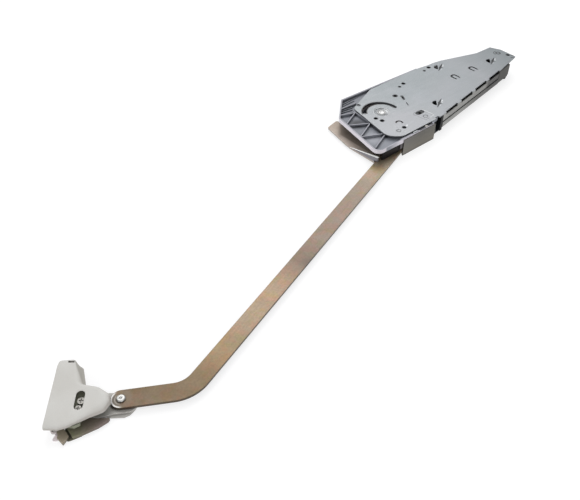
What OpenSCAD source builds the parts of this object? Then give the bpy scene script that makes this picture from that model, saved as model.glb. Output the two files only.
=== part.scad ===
// Flap lift fitting: a tapered spring power unit, a long dog-leg lever arm
// and a door bracket with a plastic cap.
//
// Row frame: +Z is the outward normal of the mounting face, +X runs along the
// unit towards its narrow end, and the origin is where the arm's pivot axis
// meets the mounting face. Inside the modules z is counted up from the inner
// face of the unit (the side that looks into the cupboard); place() moves
// every piece to the row frame.

/* [Power unit] */
// Thickness of the power unit, inner face to mounting face
unit_t = 27.5; // [27:0.5:28]
// Thickness of the mounting plate
plate_t = 1.5; // [1.2:0.1:2]
// Sheet thickness of channels and covers
sheet_t = 1.2; // [1:0.1:1.5]
// Length of the unit from the pivot to the end of the spring channel
channel_end = 264; // [262:1:268]

/* [Arm] */
// Width of the flat bar
arm_w = 20; // [18:0.5:20]
// Thickness of the flat bar
arm_t = 3; // [2.5:0.1:4]
// Distance of the bar's centre line from the pivot axis
arm_offset = 43.5; // [43:0.5:44]
// Direction of the long leg of the bar in the rest pose
arm_dir = 199; // [198:0.5:199]
// Length of the long leg, from the foot point to the bend
arm_long = 504; // [400:1:520]
// Length of the short leg, from the bend to the end rivet
arm_short = 63.5; // [56:0.5:80]
// Angle of the bend
arm_bend = 49.5; // [40:0.5:50]
// Travel of the arm, open to closed
arm_travel = 107; // [90:1:107]

/* [Spring pack] */
// Travel of the carriage while the arm closes
carriage_travel = 18; // [12:1:18]
// Outer diameter of the compression springs
spring_d = 17.4; // [16:0.2:17.4]
// Wire diameter of the springs
wire_d = 2.6; // [2:0.1:3]
// Number of turns of each spring
spring_turns = 17; // [10:1:20]
// Radius of the cam roller
roller_r = 8; // [7:0.5:8]

/* [Door bracket] */
// Distance from the end rivet to the door face
bracket_depth = 62.5; // [61:0.5:64]
// Direction of the door face's normal in the rest pose, pointing away from the door
door_dir = -40; // [-60:1:-20]
// Top of the bracket cap above the inner face of the unit
cap_top = 24; // [22:0.5:25]

/* [Hidden] */
$fn = 48;
e = 0.01;

// ---------- heights, counted from the inner face ----------
arm_z1 = 8;  arm_z0 = arm_z1 - arm_t;         // flat bar
lever_z1 = arm_z0;  lever_z0 = lever_z1 - 2;  // lever sheet
cam_z0 = arm_z1 + 0.5;  cam_z1 = cam_z0 + 8;  // cam disc
floor_z0 = 20.3;  floor_z1 = 21.8;            // floor of the plastic housing
plate_z0 = unit_t - plate_t;                  // underside of the mounting plate
spring_z = 13.5;                              // height of the spring axes
spring_y = 12.8;                              // springs lie at +/- this
roll_x0 = 34;                                 // roller centre in the rest pose
web_x = 60;                                   // front face of the carriage's web
damp_y = -30;                                 // damper axis
seat_x = 232;                                 // front face of the rear spring seat
k_cam = carriage_travel / arm_travel;         // millimetres of travel per degree

// ---------- helpers ----------
function unitv(v) = v / norm(v);
function rot2(p, a) = [p[0]*cos(a) - p[1]*sin(a), p[0]*sin(a) + p[1]*cos(a)];
function polar(r, a) = [r*cos(a), r*sin(a)];
// one rounded corner at b between a and c
function corner(a, b, c, r, n) =
  let(d1 = unitv(a - b), d2 = unitv(c - b), h = acos(max(-1, min(1, d1*d2)))/2,
      o = b + unitv(d1 + d2)*r/sin(h),
      t1 = b + d1*r/tan(h), t2 = b + d2*r/tan(h),
      a1 = atan2(t1[1]-o[1], t1[0]-o[0]), a2 = atan2(t2[1]-o[1], t2[0]-o[0]),
      da = a2 - a1, s = da > 180 ? da - 360 : da < -180 ? da + 360 : da)
  [for (i = [0:n]) o + polar(r, a1 + s*i/n)];
// outline with rounded corners; each point is [x, y, corner radius]
function rounded(p, n = 5) = [for (i = [0:len(p)-1])
  let(a = p[(i+len(p)-1) % len(p)], b = p[i], c = p[(i+1) % len(p)])
  each (b[2] > 0 ? corner([a[0],a[1]], [b[0],b[1]], [c[0],c[1]], b[2], n) : [[b[0], b[1]]])];
// ring sector outline
function sector(r0, r1, a0, a1, n = 24) = concat(
  [for (i = [0:n]) polar(r1, a0 + (a1-a0)*i/n)], [for (i = [n:-1:0]) polar(r0, a0 + (a1-a0)*i/n)]);

module place() translate([0, 0, -unit_t]) children();
module slab(z0, z1) translate([0, 0, z0]) linear_extrude(z1 - z0) children();
module rod(p, r, z0, z1) translate([p[0], p[1], z0]) cylinder(r = r, h = z1 - z0);
// cylinder along +X
module xrod(x0, x1, y, z, r) translate([x0, y, z]) rotate([0, 90, 0]) cylinder(r = r, h = x1 - x0);
module bar2(a, b, w) polygon([for (s = [[a, 1], [b, 1], [b, -1], [a, -1]])
  s[0] + s[1]*w/2*[-(b-a)[1], (b-a)[0]]/norm(b-a)]);

// ---------- mounting plate ----------
plate_pts = [[-23.2,32.4,8], [32.6,54.8,6], [129.7,52.9,2], [152,49.6,2], [162,49.2,3], [177,47,8], [241.5,26.3,8],
  [273.4,25.2,2], [280.3,9,3], [279.6,-20.6,2], [224,-33.3,0], [61,-60,4], [51.4,-60.8,4], [-21.6,-60.7,20],
  [-37,-46.6,18]];
edge_a = [61, -60];  edge_b = [224, -33.3];         // right edge, above the channel wall
edge_dir = atan2(edge_b[1]-edge_a[1], edge_b[0]-edge_a[0]);
edge_slots = [[70.4,101], [111,142.4], [150.8,183], [191.3,223]];
screw_pts = [[46.7,18.4], [40.3,-35.1]];                // sleeves that take the wall screws
open_screws = [[81.7,35], [147.7,43.9], [274.4,-10]]; // plain screw holes
screw_r = 2.6;
collared = [[147.7,43.9], [274.4,-10]];  collar_t = 4.5;
small_holes = [[-11.9,34,2.4], [-17.8,-6.4,2.5], [-15.1,-15.9,2.8], [-4.1,-47,2.8], [70.8,32.1,1.9], [134.8,41,1.5]];
hooks = [[159.3,35.1,-43], [78.1,-33.3,-43], [237.2,-3.8,-45]];   // half-round hooks: x, y, direction
tongues = [[156.7,-1.4], [196.9,-2.6]];
slot_r0 = 21;  slot_r1 = 27.3;  slot_a0 = -13;  slot_a1 = 150;

module plate_outline() polygon(rounded(plate_pts, 9));
// arc slot with round ends, as one outline
module arc_slot(r0, r1, a0, a1) {
  m = (r0+r1)/2;  w = (r1-r0)/2;  da = asin(w/m);  b0 = a0 + da;  b1 = a1 - da;
  polygon(concat(
    [for (i = [0:30]) polar(r1, b0 + (b1-b0)*i/30)],
    [for (i = [1:7]) polar(m, b1) + polar(w, b1 + 22.5*i)],
    [for (i = [30:-1:0]) polar(r0, b0 + (b1-b0)*i/30)],
    [for (i = [1:7]) polar(m, b0) + polar(w, b0 + 180 + 22.5*i)]));
}
// half-round hole, with the flat side towards the tab
module hook_hole(h) translate([h[0], h[1]]) rotate(h[2]) intersection() {
  circle(r = 6.4);
  translate([-8, -8]) square([8, 16]);
}
// U-shaped cut round a spring tongue, open towards the right edge
module tongue_cut(p) translate(p) difference() {
  polygon(rounded([[-5,-6,0], [4.9,-6,0], [4.9,7.2,4.4], [-5,7.2,4.4]]));
  polygon(rounded([[-2.9,-7,0], [2.8,-7,0], [2.8,4.9,2.6], [-2.9,4.9,2.6]]));
}

module mount_plate() color([0.70, 0.73, 0.75]) place() {
  difference() {
    slab(plate_z0, unit_t) plate_outline();
    translate([0, 0, plate_z0 - 1]) linear_extrude(plate_t + 2) {
      arc_slot(slot_r0, slot_r1, slot_a0, slot_a1);
      for (h = hooks) hook_hole(h);
      for (p = tongues) tongue_cut(p);
      // crescent, edge notches above the channel wall, and short marks
      translate([-0.8, -34.8]) polygon(sector(3.4, 5.2, -40, 135, 12));
      for (s = edge_slots) translate(edge_a) rotate(edge_dir)
        translate([(s[0]-edge_a[0])/cos(edge_dir), -1]) square([(s[1]-s[0])/cos(edge_dir), 3.2]);
      translate([51, 6.5]) rotate(65) polygon([[-4.9,-0.8], [2,-1.5], [5.2,-0.6], [4.6,0.7], [-1,1.3], [-4.9,0.8]]);
      // wedge opening beside the side cover
      polygon([[45.5,-62], [55,-62], [52.5,-57.2], [47,-57.6]]);
    }
    rod([0,0], 4.5, plate_z0 - 1, unit_t + 1);
    // dished seat of the pivot head
    rod([0,0], 10.2, unit_t - 0.5, unit_t + 1);
    for (p = screw_pts) rod(p, screw_r, plate_z0 - 1, unit_t + 1);
    for (p = open_screws) rod(p, screw_r, plate_z0 - 1, unit_t + 1);
    for (h = small_holes) rod([h[0],h[1]], h[2], plate_z0 - 1, unit_t + 1);
    // crossed dents beside the hooks
    translate([0, 0, unit_t - 0.4]) linear_extrude(2) {
      for (h = hooks) translate([h[0], h[1]]) rotate(h[2]) {
        polygon([[-0.9,-13.4], [5.1,-1.9], [8.3,13.8], [2.2,1.8]]);
        polygon([[0.8,1.4], [3.6,-2], [8.4,-1.5], [4.4,2]]);
      }
      translate([43.9, -8.3]) rotate(63) square([8.6, 1.5], center = true);
    }
    // sunk obround round the upper sleeve
    translate([0, 0, unit_t - 0.7]) linear_extrude(2) polygon(rounded([[32.8,-39,3.7], [48,-39,3.7], [48,-31.4,3.7], [32.8,-31.4,3.7]]));
    // shallow pressed rings
    for (p = [[39.4,-46.8,3.6], [267.6,4.8,3.6], [-15.5,-47.8,3.2]]) difference() {
      rod([p[0],p[1]], p[2], unit_t - 0.35, unit_t + 1);
      rod([p[0],p[1]], p[2] - 0.8, unit_t - 1, unit_t + 2);
    }
  }
  // drawn collars of the two screw holes with nothing behind them
  for (p = collared) difference() {
    rod(p, 4.4, unit_t - collar_t, plate_z0 + 0.2);
    rod(p, screw_r, 15, unit_t + 1);
  }
  // bent tabs behind the half-round holes, pressed towards the inside
  for (h = hooks) translate([h[0], h[1], 0]) rotate(h[2])
    translate([0.3, -3, plate_z0 - 3.2]) cube([1.2, 6, 3.8]);
}

// ---------- plastic housing ----------
house_pts = [[-18.8,62.8,3], [-55.1,28.2,4], [-72.2,-64,9], [-28,-65,0], [38,-65,2], [38,-59.5,0], [58,-56.5,0],
  [58,-47,3], [46,30,4], [66,48,3], [133,47.5,1], [133,55.9,1.5]];
house_in = [[-18.2,60.4,2], [-53,27.6,3], [-70,-63,7.5], [-28,-63,0], [36,-63,1], [36,-58,0], [56,-55,0],
  [56,-46,2], [43.6,30.6,3], [64.6,50,2], [131,49.5,1], [131,53.8,1]];
// stiffening ribs: ends at the front rim, and ends under the mounting plate
rib_front = [[-60,10], [-63.8,-23], [-66.5,-54]];
rib_back = [[-27,25.4], [-30,-7.7], [-31.5,-39]];
module house_floor_cuts() {
  arc_slot(slot_r0 + 0.2, slot_r1 + 1.6, slot_a0 - 2, slot_a1 + 2);
  circle(r = 13.2);
  for (p = screw_pts) translate(p) circle(r = 5.3);
  for (p = concat(open_screws, [[-11.9,34]])) translate(p) circle(r = 5.2);
  for (h = hooks) translate([h[0], h[1]]) circle(r = 7);
}
module plastic_housing() color([0.55, 0.56, 0.62]) place() {
  difference() {
    slab(floor_z0, plate_z0 - 0.1) polygon(rounded(house_pts));
    slab(floor_z1, plate_z0 + 1) polygon(rounded(house_in));
    slab(floor_z0 - 1, plate_z0 + 1) house_floor_cuts();
    // room for the black clip
    slab(floor_z0 - 1, plate_z0 + 1) translate([53.4, -70]) square([20, 16.7]);
  }
  // zigzag ribs in the open front tray
  slab(floor_z0 + 0.6, plate_z0 - 0.4) intersection() {
    polygon(rounded(house_pts));
    union() {
      for (i = [0:2]) bar2(rib_back[i], rib_front[i], 1.4);
      for (i = [0:1]) bar2(rib_front[i], rib_back[i+1], 1.4);
      bar2([-52,35.5], rib_back[0], 1.4);
      bar2([-36,45.5], [-8,43], 1.4);
      bar2([-26,28], [-30.5,-44], 1.4);
    }
  }
  // raised wall round the arc slot, with ratchet teeth on its outer side
  difference() {
    slab(floor_z0, plate_z0 - 0.1) polygon(sector(19, 31, -17, 154));
    slab(floor_z0 - 1, plate_z0 + 1) arc_slot(20.8, 28.9, slot_a0 - 2, slot_a1 + 2);
    rod([-11.9,34], 5.2, floor_z0 - 1, plate_z0 + 1);
  }
  for (a = [-2:9:142]) rotate(a) translate([26.2, -0.7, floor_z0]) cube([3.6, 1.4, 3]);
  // slanted web that ends the side opening
  slab(12, floor_z0 + e) polygon([[-29,-65], [-24.5,-65], [-24.5,-63.2], [-29,-63.2]]);
}

// ---------- metal covers ----------
module side_cover() color([0.47, 0.45, 0.41]) place() {
  // upright wall beside the lever, with the stop edge at its front end
  slab(0, plate_z0 - 1.6) {
    translate([-23.6, -66.3]) square([62.8, sheet_t]);
    translate([38, -66.3]) square([sheet_t, 6.2]);
  }
  slab(0, sheet_t) polygon([[-23.6,-65.2], [38.2,-65.2], [38.2,-60.6], [-20,-60.6]]);
}
inner_pts = [[-40,44,8], [-20,55,6], [58,52,4], [69.1,44.5,1], [69.1,-54,0], [60,-57.2,2], [38.2,-60.5,0], [-20,-60.5,2],
  [-46,-52,8], [-52,-10,20]];
module inner_plate() color([0.72, 0.71, 0.69]) place() difference() {
  slab(0, sheet_t) polygon(rounded(inner_pts));
  rod([0,0], 4.5, -1, 3);
  for (p = screw_pts) rod(p, screw_r, -1, 3);
  for (x = [50, 60]) slab(-1, 3) translate([x, 34]) square([4, 18], center = true);
}

// spring channel: right wall follows the plate's edge, left wall tapers with it
chan_r0 = [69.3, -58.5];  chan_r1 = [channel_end, -27.2];  chan_dir = atan2(31.3, channel_end - 69.3);
chan_l0 = [69.3, 44.1];  chan_l1 = [channel_end, 20.6];
strip_len = 155;
module chan_wall(a, b, w) { d = unitv(b - a); n = [-d[1], d[0]]; polygon([a, b, b + w*n, a + w*n]); }
// sheet beside the right wall: y0..y1 inwards from its outer face, outline in length and height
module side_strip(y0, y1, pts) translate(chan_r0) rotate(chan_dir) translate([0, y1, 0])
  rotate([90, 0, 0]) linear_extrude(y1 - y0) polygon(pts);
module spring_channel() color([0.62, 0.62, 0.60]) place() {
  difference() {
    side_strip(0, 1.4, [[-6,7.2], [strip_len,7.2], [strip_len,plate_z0], [-6,plate_z0]]);
    side_strip(-1, 0.7, [[-7,14.4], [strip_len+1,14.4], [strip_len+1,15.5], [-7,15.5]]);
    // low stretches of the wall below the plate's edge notches, with tabs left between them
    for (s = edge_slots) let(a = max(0, (s[0]-chan_r0[0])/cos(chan_dir)), b = min(strip_len + 1, (s[1]-chan_r0[0])/cos(chan_dir)))
      side_strip(-1, 2.4, [[a, 23.3], [b, 23.3], [b, 27], [a, 27]]);
  }
  // left wall and its inturned lip
  slab(sheet_t, plate_z0) chan_wall(chan_l0, chan_l1, -1.2);
  slab(sheet_t, 2.4) chan_wall(chan_l0 + [0,-0.6], chan_l1 + [0,-0.6], -4);
}
module bottom_channel() color([0.60, 0.60, 0.56]) place() {
  difference() {
    slab(0, sheet_t) polygon([[69.3,-54], [channel_end,-22.7], [channel_end,20.6], [69.3,44.1]]);
    rod([81.7,35], 5, -1, 3);
    for (x = [112, 150, 188]) slab(-1, 3) polygon(rounded([[x,-3,2.9], [x+22,-3,2.9], [x+22,3,2.9], [x,3,2.9]]));
  }
  // stepped side: web, shelf and outer strip
  side_strip(4.4, 5.6, [[0,0.2], [178,0.2], [178,12.4], [0,12.4]]);
  side_strip(1.4, 5.6, [[0,11.4], [strip_len,11.4], [strip_len,12.4], [0,12.4]]);
  side_strip(-0.88, 0, [[-6,6.5], [strip_len,6.5], [strip_len,14.1], [-6,14.1]]);
}
module black_clip() color([0.10, 0.10, 0.10]) place() {
  difference() {
    slab(3, plate_z0 - 0.1) polygon(rounded([[57.2,-61,0.6], [62.6,-60.6,0.9], [63,-53,0], [57.2,-53.5,0]], 3));
    slab(5, plate_z0 - 3) polygon([[58.8,-59.2], [61.2,-59], [61.4,-52], [58.8,-52]]);
  }
}

// ---------- pivot ----------
module pivot_pin() color([0.80, 0.80, 0.79]) place() difference() {
  union() {
    rod([0,0], 4.5, 0, unit_t - 0.5);
    rod([0,0], 6, sheet_t, plate_z0);
    rod([0,0], 6.6, unit_t - 0.5, unit_t - 0.05);
  }
  translate([0, 0, unit_t - 1.1]) cylinder(r1 = 1.1, r2 = 2.6, h = 1.2);
  rod([0,0], 1.6, -1, 1);
}
module thrust_washer() color([0.85, 0.84, 0.80]) place() difference() {
  rod([0,0], 13, sheet_t, lever_z0 - 0.1);
  rod([0,0], 6, 0, 3);
}
module top_spacer() color([0.20, 0.20, 0.21]) place() difference() {
  rod([0,0], 12.9, cam_z1 + 0.2, plate_z0);
  rod([0,0], 6, cam_z1 - 1, plate_z0 + 1);
}
module screw_sleeves() color([0.66, 0.66, 0.64]) place() for (p = screw_pts) difference() {
  union() {
    rod(p, 4.2, sheet_t, plate_z0);
    rod(p, 5.0, plate_z0 - 2.2, plate_z0);
  }
  rod(p, screw_r, 0, unit_t);
}

// ---------- spring pack, fixed side ----------
module end_block() color([0.42, 0.41, 0.36]) place() difference() {
  union() {
    slab(sheet_t, plate_z0) polygon([[250,-27.6], [254.9,-26.8], [263.8,-14], [263.8,19.2], [250,19.2]]);
    side_strip(-0.3, 2.6, [[strip_len+0.1,6.3], [172,7.3], [184,8.4], [188,8.6], [188,plate_z0], [strip_len+0.1,plate_z0]]);
  }
  xrod(249, 265, 0, spring_z, 3.6);
  for (s = [-1, 1]) xrod(249, 260, s*spring_y, spring_z, 4);
  for (s = [-1, 1]) xrod(259, 265, s*spring_y, spring_z, 2.2);
  translate([249, 14.6, 0]) cube([16, 6, 2.5]);   // room for the channel's inturned lip
}
module guide_rods() color([0.75, 0.75, 0.73]) place() for (s = [-1, 1]) xrod(64, 260, s*spring_y, spring_z, 4);
module damper_cylinder() color([0.16, 0.16, 0.17]) place() difference() {
  xrod(116, 154, damp_y, spring_z, 5);
  xrod(118, 155, damp_y, spring_z, 4);
  xrod(115, 119, damp_y, spring_z, 1.88);
}
module damper_clamp() color([0.62, 0.62, 0.60]) place() for (x = [121, 139]) difference() {
  translate([x, damp_y - 6.5, sheet_t]) cube([8, 13, 13]);
  xrod(x - 1, x + 9, damp_y, spring_z, 5);
}
stop_s = 17;
module stop_buffer() color([0.12, 0.12, 0.12]) place() slab(sheet_t, 12) polygon([[-20,-65], [-6,-65], foot + (arm_w/2 + 0.3)*nr + stop_s*u1, foot + (arm_w/2 + 0.3)*nr + (stop_s + 14)*u1]);

// ---------- arm assembly ----------
foot = polar(arm_offset, arm_dir - 270);
u1 = polar(1, arm_dir);
nr = polar(1, arm_dir + 90);                  // towards the bar's right edge
bend_pt = foot + arm_long*u1;
u2 = polar(1, arm_dir - arm_bend);
end_pt = bend_pt + arm_short*u2;
bend_r = 33;                                  // centre-line radius of the bend
module arm_bar() color([0.66, 0.57, 0.46]) place() {
  tl = bend_r*tan(arm_bend/2);
  c = bend_pt - tl*u1 + bend_r*polar(1, arm_dir - 90);
  difference() {
    union() {
      slab(arm_z0, arm_z1) {
        // long leg with a square inner end, swept bend, and the short leg with its round end
        bar2(foot - 15*u1, bend_pt - tl*u1, arm_w);
        polygon([for (q = sector(bend_r - arm_w/2, bend_r + arm_w/2, arm_dir + 90, arm_dir + 90 - arm_bend, 12)) c + q]);
        bar2(bend_pt + tl*u2, end_pt, arm_w);
      }
      rod(end_pt, arm_w/2, arm_z0, arm_z1);
    }
    rod(end_pt, 4, arm_z0 - 1, arm_z1 + 1);
    for (s = [-4, 20, 44]) rod(foot + s*u1, 3.5, arm_z0 - 1, arm_z1 + 1);
  }
}
lever_pts = [[-60.2,44.8,3], [-69.2,-2,6], [-70.2,-14,0], [-69,-56.5,1], [-60,-62,4], [-44,-62,6], [-12,-53,4], [24,-47.5,5],
  [28,-30,6], [25,8,8], [4,26,10], [-22,18,8], [-30,22,8], [-38.5,34,4], [-37.5,50,3]];
module lever_plate() color([0.72, 0.65, 0.58]) place() difference() {
  union() {
    slab(lever_z0, lever_z1) polygon(rounded(lever_pts));
    // upturned front flange, growing from nothing to its full height over the bar's root
    intersection() {
      slab(lever_z0, 16) polygon([[-68.8,-62.4], [-70.3,-10], [-68.7,-10], [-67.2,-62.4]]);
      translate([-80, 0, 0]) rotate([90, 0, 90]) linear_extrude(20) polygon([[-56.4,lever_z0], [-10,lever_z0],
        [-10,lever_z1], [-62.4,14.4], [-62.4,arm_z1+0.2], [-56.4,arm_z1+0.2]]);
    }
  }
  rod([0,0], 8, lever_z0 - 1, lever_z1 + 1);
  for (s = [-4, 20, 44]) rod(foot + s*u1, 3.5, lever_z0 - 1, lever_z1 + 1);
}
module arm_rivets() color([0.76, 0.72, 0.66]) place() for (s = [-4, 20, 44])
  rod(foot + s*u1, 3.5, lever_z0, arm_z1);

// The cam's pitch curve is an Archimedean spiral, so the carriage moves in
// proportion to the arm; the profile is that curve set in by the roller radius.
pitch = function (a) roll_x0 + k_cam*a;
function pitch_pt(a) = polar(pitch(a), a);
function cam_pt(a) = let(
    t = unitv(pitch_pt(a + 0.5) - pitch_pt(a - 0.5)), n = [t[1], -t[0]])
  pitch_pt(a) - (roller_r + 0.12)*n;
module cam() color([0.45, 0.46, 0.47]) place() difference() {
  union() {
    slab(cam_z0, cam_z1) polygon(concat(
      [for (a = [-8:5:112]) cam_pt(a)],
      rounded([[-21,38,4], [-30,24,6], [-29,-6,10], [-10,-25,10], [12,-24,8]], 4)));
    rod([0,0], 14, lever_z1, cam_z0 + e);
  }
  rod([0,0], 8, lever_z1 - 1, cam_z1 + 1);
  rod(polar(23.6, stop_a), 2, cam_z1 - 6, cam_z1 + 1);
  // lightening holes
  for (a = [55, 85]) rod(polar(26, a), 4, cam_z0 - 1, cam_z1 + 1);
}
stop_a = 142.8;
module stop_pin() color([0.22, 0.22, 0.23]) place() rod(polar(23.6, stop_a), 2, cam_z1 - 6, plate_z0 - 0.6);
module pivot_bush() color([0.72, 0.56, 0.30]) place() difference() {
  rod([0,0], 8, lever_z0, cam_z1);
  rod([0,0], 6.05, lever_z0 - 1, cam_z1 + 1);
}

// ---------- carriage ----------
module carriage() color([0.50, 0.50, 0.49]) place() difference() {
  union() {
    // fork that holds the roller, above and below
    for (z = [[4.8, 8.1], [17, 20]]) slab(z[0], z[1]) {
      translate([roll_x0, -6.4]) square([web_x - roll_x0 + 2, 12.8]);
      translate([roll_x0, 0]) circle(r = 6.4);
    }
    translate([web_x, -21.6, 4.8]) cube([12, 43.2, 17.2]);
    translate([web_x, damp_y - 4.5, 8]) cube([12, 13, 11]);
  }
  rod([roll_x0, 0], 3, 4, 21);
  for (s = [-1, 1]) xrod(web_x - 1, web_x + 13, s*spring_y, spring_z, 4.08);
  xrod(web_x + 4, web_x + 13, damp_y, spring_z, 1.8);
}
module roller_pin() color([0.70, 0.70, 0.69]) place() rod([roll_x0, 0], 3, 4.8, 20);
module roller() color([0.60, 0.60, 0.60]) place() difference() {
  rod([roll_x0, 0], roller_r, 8.4, 16.7);
  rod([roll_x0, 0], 3.06, 8, 17);
}
module damper_rod() color([0.80, 0.80, 0.80]) place() {
  xrod(web_x + 4, 128, damp_y, spring_z, 1.8);
  xrod(126, 131, damp_y, spring_z, 3.94);
}

// ---------- springs and preload ----------
wire_seg = 12;
function coil_ring(i, n, len0, rr, wr, x0, yy) =
  let(a = i*360/wire_seg, x = x0 + wr + (len0 - 2*wr)*i/n,
      o = [x, yy + rr*cos(a), spring_z + rr*sin(a)])
  [for (j = [0:5]) let(b = j*60) o + wr*cos(b)*[0, cos(a), sin(a)] + wr*sin(b)*[1, 0, 0]];
module coil(yy) {
  n = spring_turns*wire_seg;
  rr = (spring_d - wire_d)/2;
  pts = [for (i = [0:n]) each coil_ring(i, n, seat_x - web_x - 12 - 0.2, rr, wire_d/2, web_x + 12.1, yy)];
  polyhedron(points = pts, faces = concat(
    [[for (j = [5:-1:0]) j]], [[for (j = [0:5]) n*6 + j]],
    [for (i = [0:n-1], j = [0:5]) [i*6 + j, i*6 + (j+1)%6, (i+1)*6 + (j+1)%6]],
    [for (i = [0:n-1], j = [0:5]) [i*6 + j, (i+1)*6 + (j+1)%6, (i+1)*6 + j]]), convexity = 10);
}
module spring_left() color([0.35, 0.36, 0.38]) place() coil(spring_y);
module spring_right() color([0.35, 0.36, 0.38]) place() coil(-spring_y);
module preload_plate() color([0.62, 0.62, 0.61]) place() difference() {
  translate([seat_x, -21.4, 4.6]) cube([4, 42.8, 17.6]);
  for (s = [-1, 1]) xrod(seat_x - 1, seat_x + 5, s*spring_y, spring_z, 4.3);
  xrod(seat_x - 1, seat_x + 5, 0, spring_z, 3.56);
}
module preload_screw() color([0.74, 0.74, 0.72]) place() difference() {
  union() {
    xrod(216, 264, 0, spring_z, 3.5);
    xrod(264, 267, 0, spring_z, 5);
    xrod(247.5, 249.8, 0, spring_z, 5);
  }
  translate([264.5, 0, spring_z]) rotate([0, 90, 0]) cylinder(r = 2.6, h = 4, $fn = 6);
}

// ---------- door bracket, in its own frame at the end rivet ----------
// x points away from the door, y along the door; the door face is at x = -bracket_depth
module at_bracket() place() translate([end_pt[0], end_pt[1], 0]) rotate(door_dir) children();
bd = bracket_depth;
lug_z1 = arm_z0 - 0.8;  lug_z0 = lug_z1 - 2.6;  // hinge lug and lower leaf
module end_rivet() color([0.86, 0.86, 0.85]) at_bracket() difference() {
  union() {
    rod([0,0], 3.94, 0.6, arm_z1 + 0.5);
    rotate_extrude() polygon([[0,arm_z1+0.3], [4.25,arm_z1+0.3], [4.2,arm_z1+1.2], [3.4,arm_z1+1.9], [0,arm_z1+2]]);
    rod([0,0], 5.2, 0.6, lug_z0 + 0.6);
  }
  translate([0, 0, arm_z1 + 1.2]) cylinder(r1 = 0.5, r2 = 1.8, h = 0.9);
}
module end_washer() color([0.88, 0.88, 0.87]) at_bracket() difference() {
  rod([-0.8,0], 10.6, lug_z1, arm_z0 - 0.1);
  rod([0,0], 3.94, lug_z1 - 1, arm_z0 + 1);
}
lug_pts = [[-40,-16.4,0], [-18.6,-18.2,0], [-6,-14.2,3], [9.5,-12,6], [14.6,-7,5], [14.6,2.4,6], [7,9.5,6], [-24,9,2], [-40,9,0]];
module hinge_lug() color([0.74, 0.74, 0.72]) at_bracket() difference() {
  slab(lug_z0, lug_z1) polygon(rounded(lug_pts));
  rod([0,0], 3.94, 0, 6);
  rod([0,0], 5.2, 0, lug_z0 + 0.6);
}
leaf_pts = [[-58,-27,0], [-50,-27.4,2], [-46.2,-26.6,1], [-38.7,-35.9,1], [-37.3,-38.4,1], [-28.9,-34.8,6], [-16.4,-27.6,6], [-8.6,-21.2,3],
  [-7,-17.6,1], [-18.6,-18.5,0], [-40.2,-16.6,0], [-40.2,9.2,0], [-34,9.2,2], [-44,28,3], [-58,28,0]];
module lower_leaf() color([0.36, 0.31, 0.25]) at_bracket() difference() {
  union() {
    slab(lug_z0, lug_z1) polygon(rounded(leaf_pts));
    // pressed-down toe that runs on below the release clip
    slab(0.3, 1.4) polygon(rounded([[-46.6,-26.5,0], [-46.6,-38.2,1], [-41,-40.2,2], [-37,-38.5,0], [-30,-34.8,0], [-32,-26.5,0]]));
    slab(1.3, lug_z0 + e) polygon([[-38.4,-36], [-37.2,-38.2], [-30.4,-34.8], [-32,-31.6]]);
  }
  rod([-48,14], 3, 0, 6);
}
// the block keeps to the far side of the bar's path
body_pts = [[-59.7,-34.6,1], [-56.4,-35.6,0.5], [-54.4,-34,0.5], [-15.5,1.9,2], [-21,4.4,2], [-35,8.2,3], [-42,26,4], [-46,29,3], [-59.7,29,1]];
tilt_at = [-33.8, -7.2];
lock_at = [-35.2, -14.8];
leaf_z0 = arm_z1 + 1.4;  leaf_z1 = 12.6;
module door_screws(r, u0, u1) for (v = [24, -20]) translate([u0, v, 10.6]) rotate([0, 90, 0]) cylinder(r = r, h = u1 - u0);
module bracket_body() color([0.56, 0.55, 0.53]) at_bracket() difference() {
  slab(lug_z1, leaf_z0) polygon(rounded(body_pts));
  rod(tilt_at, 3.08, 5.2, 14);
  door_screws(4.2, -60, -47);
  slab(5.6, 14) polygon(rounded([[-55,-10,2], [-44,-10,2], [-44,14,2], [-55,14,2]]));
}
// plate under the cap that carries the adjusting screws
upper_pts = [[-59.7,29.6,1], [-48,31,2], [-44.4,27.8,3], [-38,7.4,4], [-21,4,5], [-11.4,-1.8,5], [-10,-8,4], [-13.6,-14.6,4],
  [-24.4,-20.9,5], [-31,-25.4,1], [-30.6,-29.6,1], [-35.6,-32.6,1], [-42.4,-31.9,5], [-49,-34,5], [-59.7,-33.6,1]];
module upper_leaf() color([0.66, 0.66, 0.65]) at_bracket() difference() {
  slab(leaf_z0, leaf_z1) polygon(rounded(upper_pts));
  rod(tilt_at, 3.08, 4.5, 14);
  rod(lock_at, 2.06, 4.5, 14);
  door_screws(4.2, -60, -47);
}
module door_plate() color([0.70, 0.71, 0.71]) at_bracket() difference() {
  union() {
    translate([-bd, 0, 0]) rotate([90, 0, 90]) linear_extrude(2.8) polygon([[-21,0], [30,0], [30,20.8], [-33,13.3], [-33,12], [-29,6]]);
    door_plate_foot();
  }
  door_screws(2.4, -bd - 1, -bd + 4);
  translate([-bd - 1, -5, 6]) cube([5, 12, 7]);
}
module door_plate_foot() slab(0, 1.4) polygon(rounded([[-bd+1,-16,0], [-bd+1,-22.5,0], [-56.5,-22.5,2], [-52.7,-29,2], [-55.7,-39.9,1.1],
  [-50.8,-39.6,1.6], [-48,-28,0], [-48,-16,2]]));
cap_pts = [[0.2-bd,32.5,4], [-47.5,33.8,4], [-42.6,29.6,4], [-36,9.6,4], [-20,6.4,8], [-9,-0.5,6], [-7.4,-8,6], [-11.4,-17,5],
  [-23.4,-23.4,6], [-32,-28.8,6], [-41.7,-34.3,6], [-49,-36.6,6], [0.2-bd,-36.4,1.5]];
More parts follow.
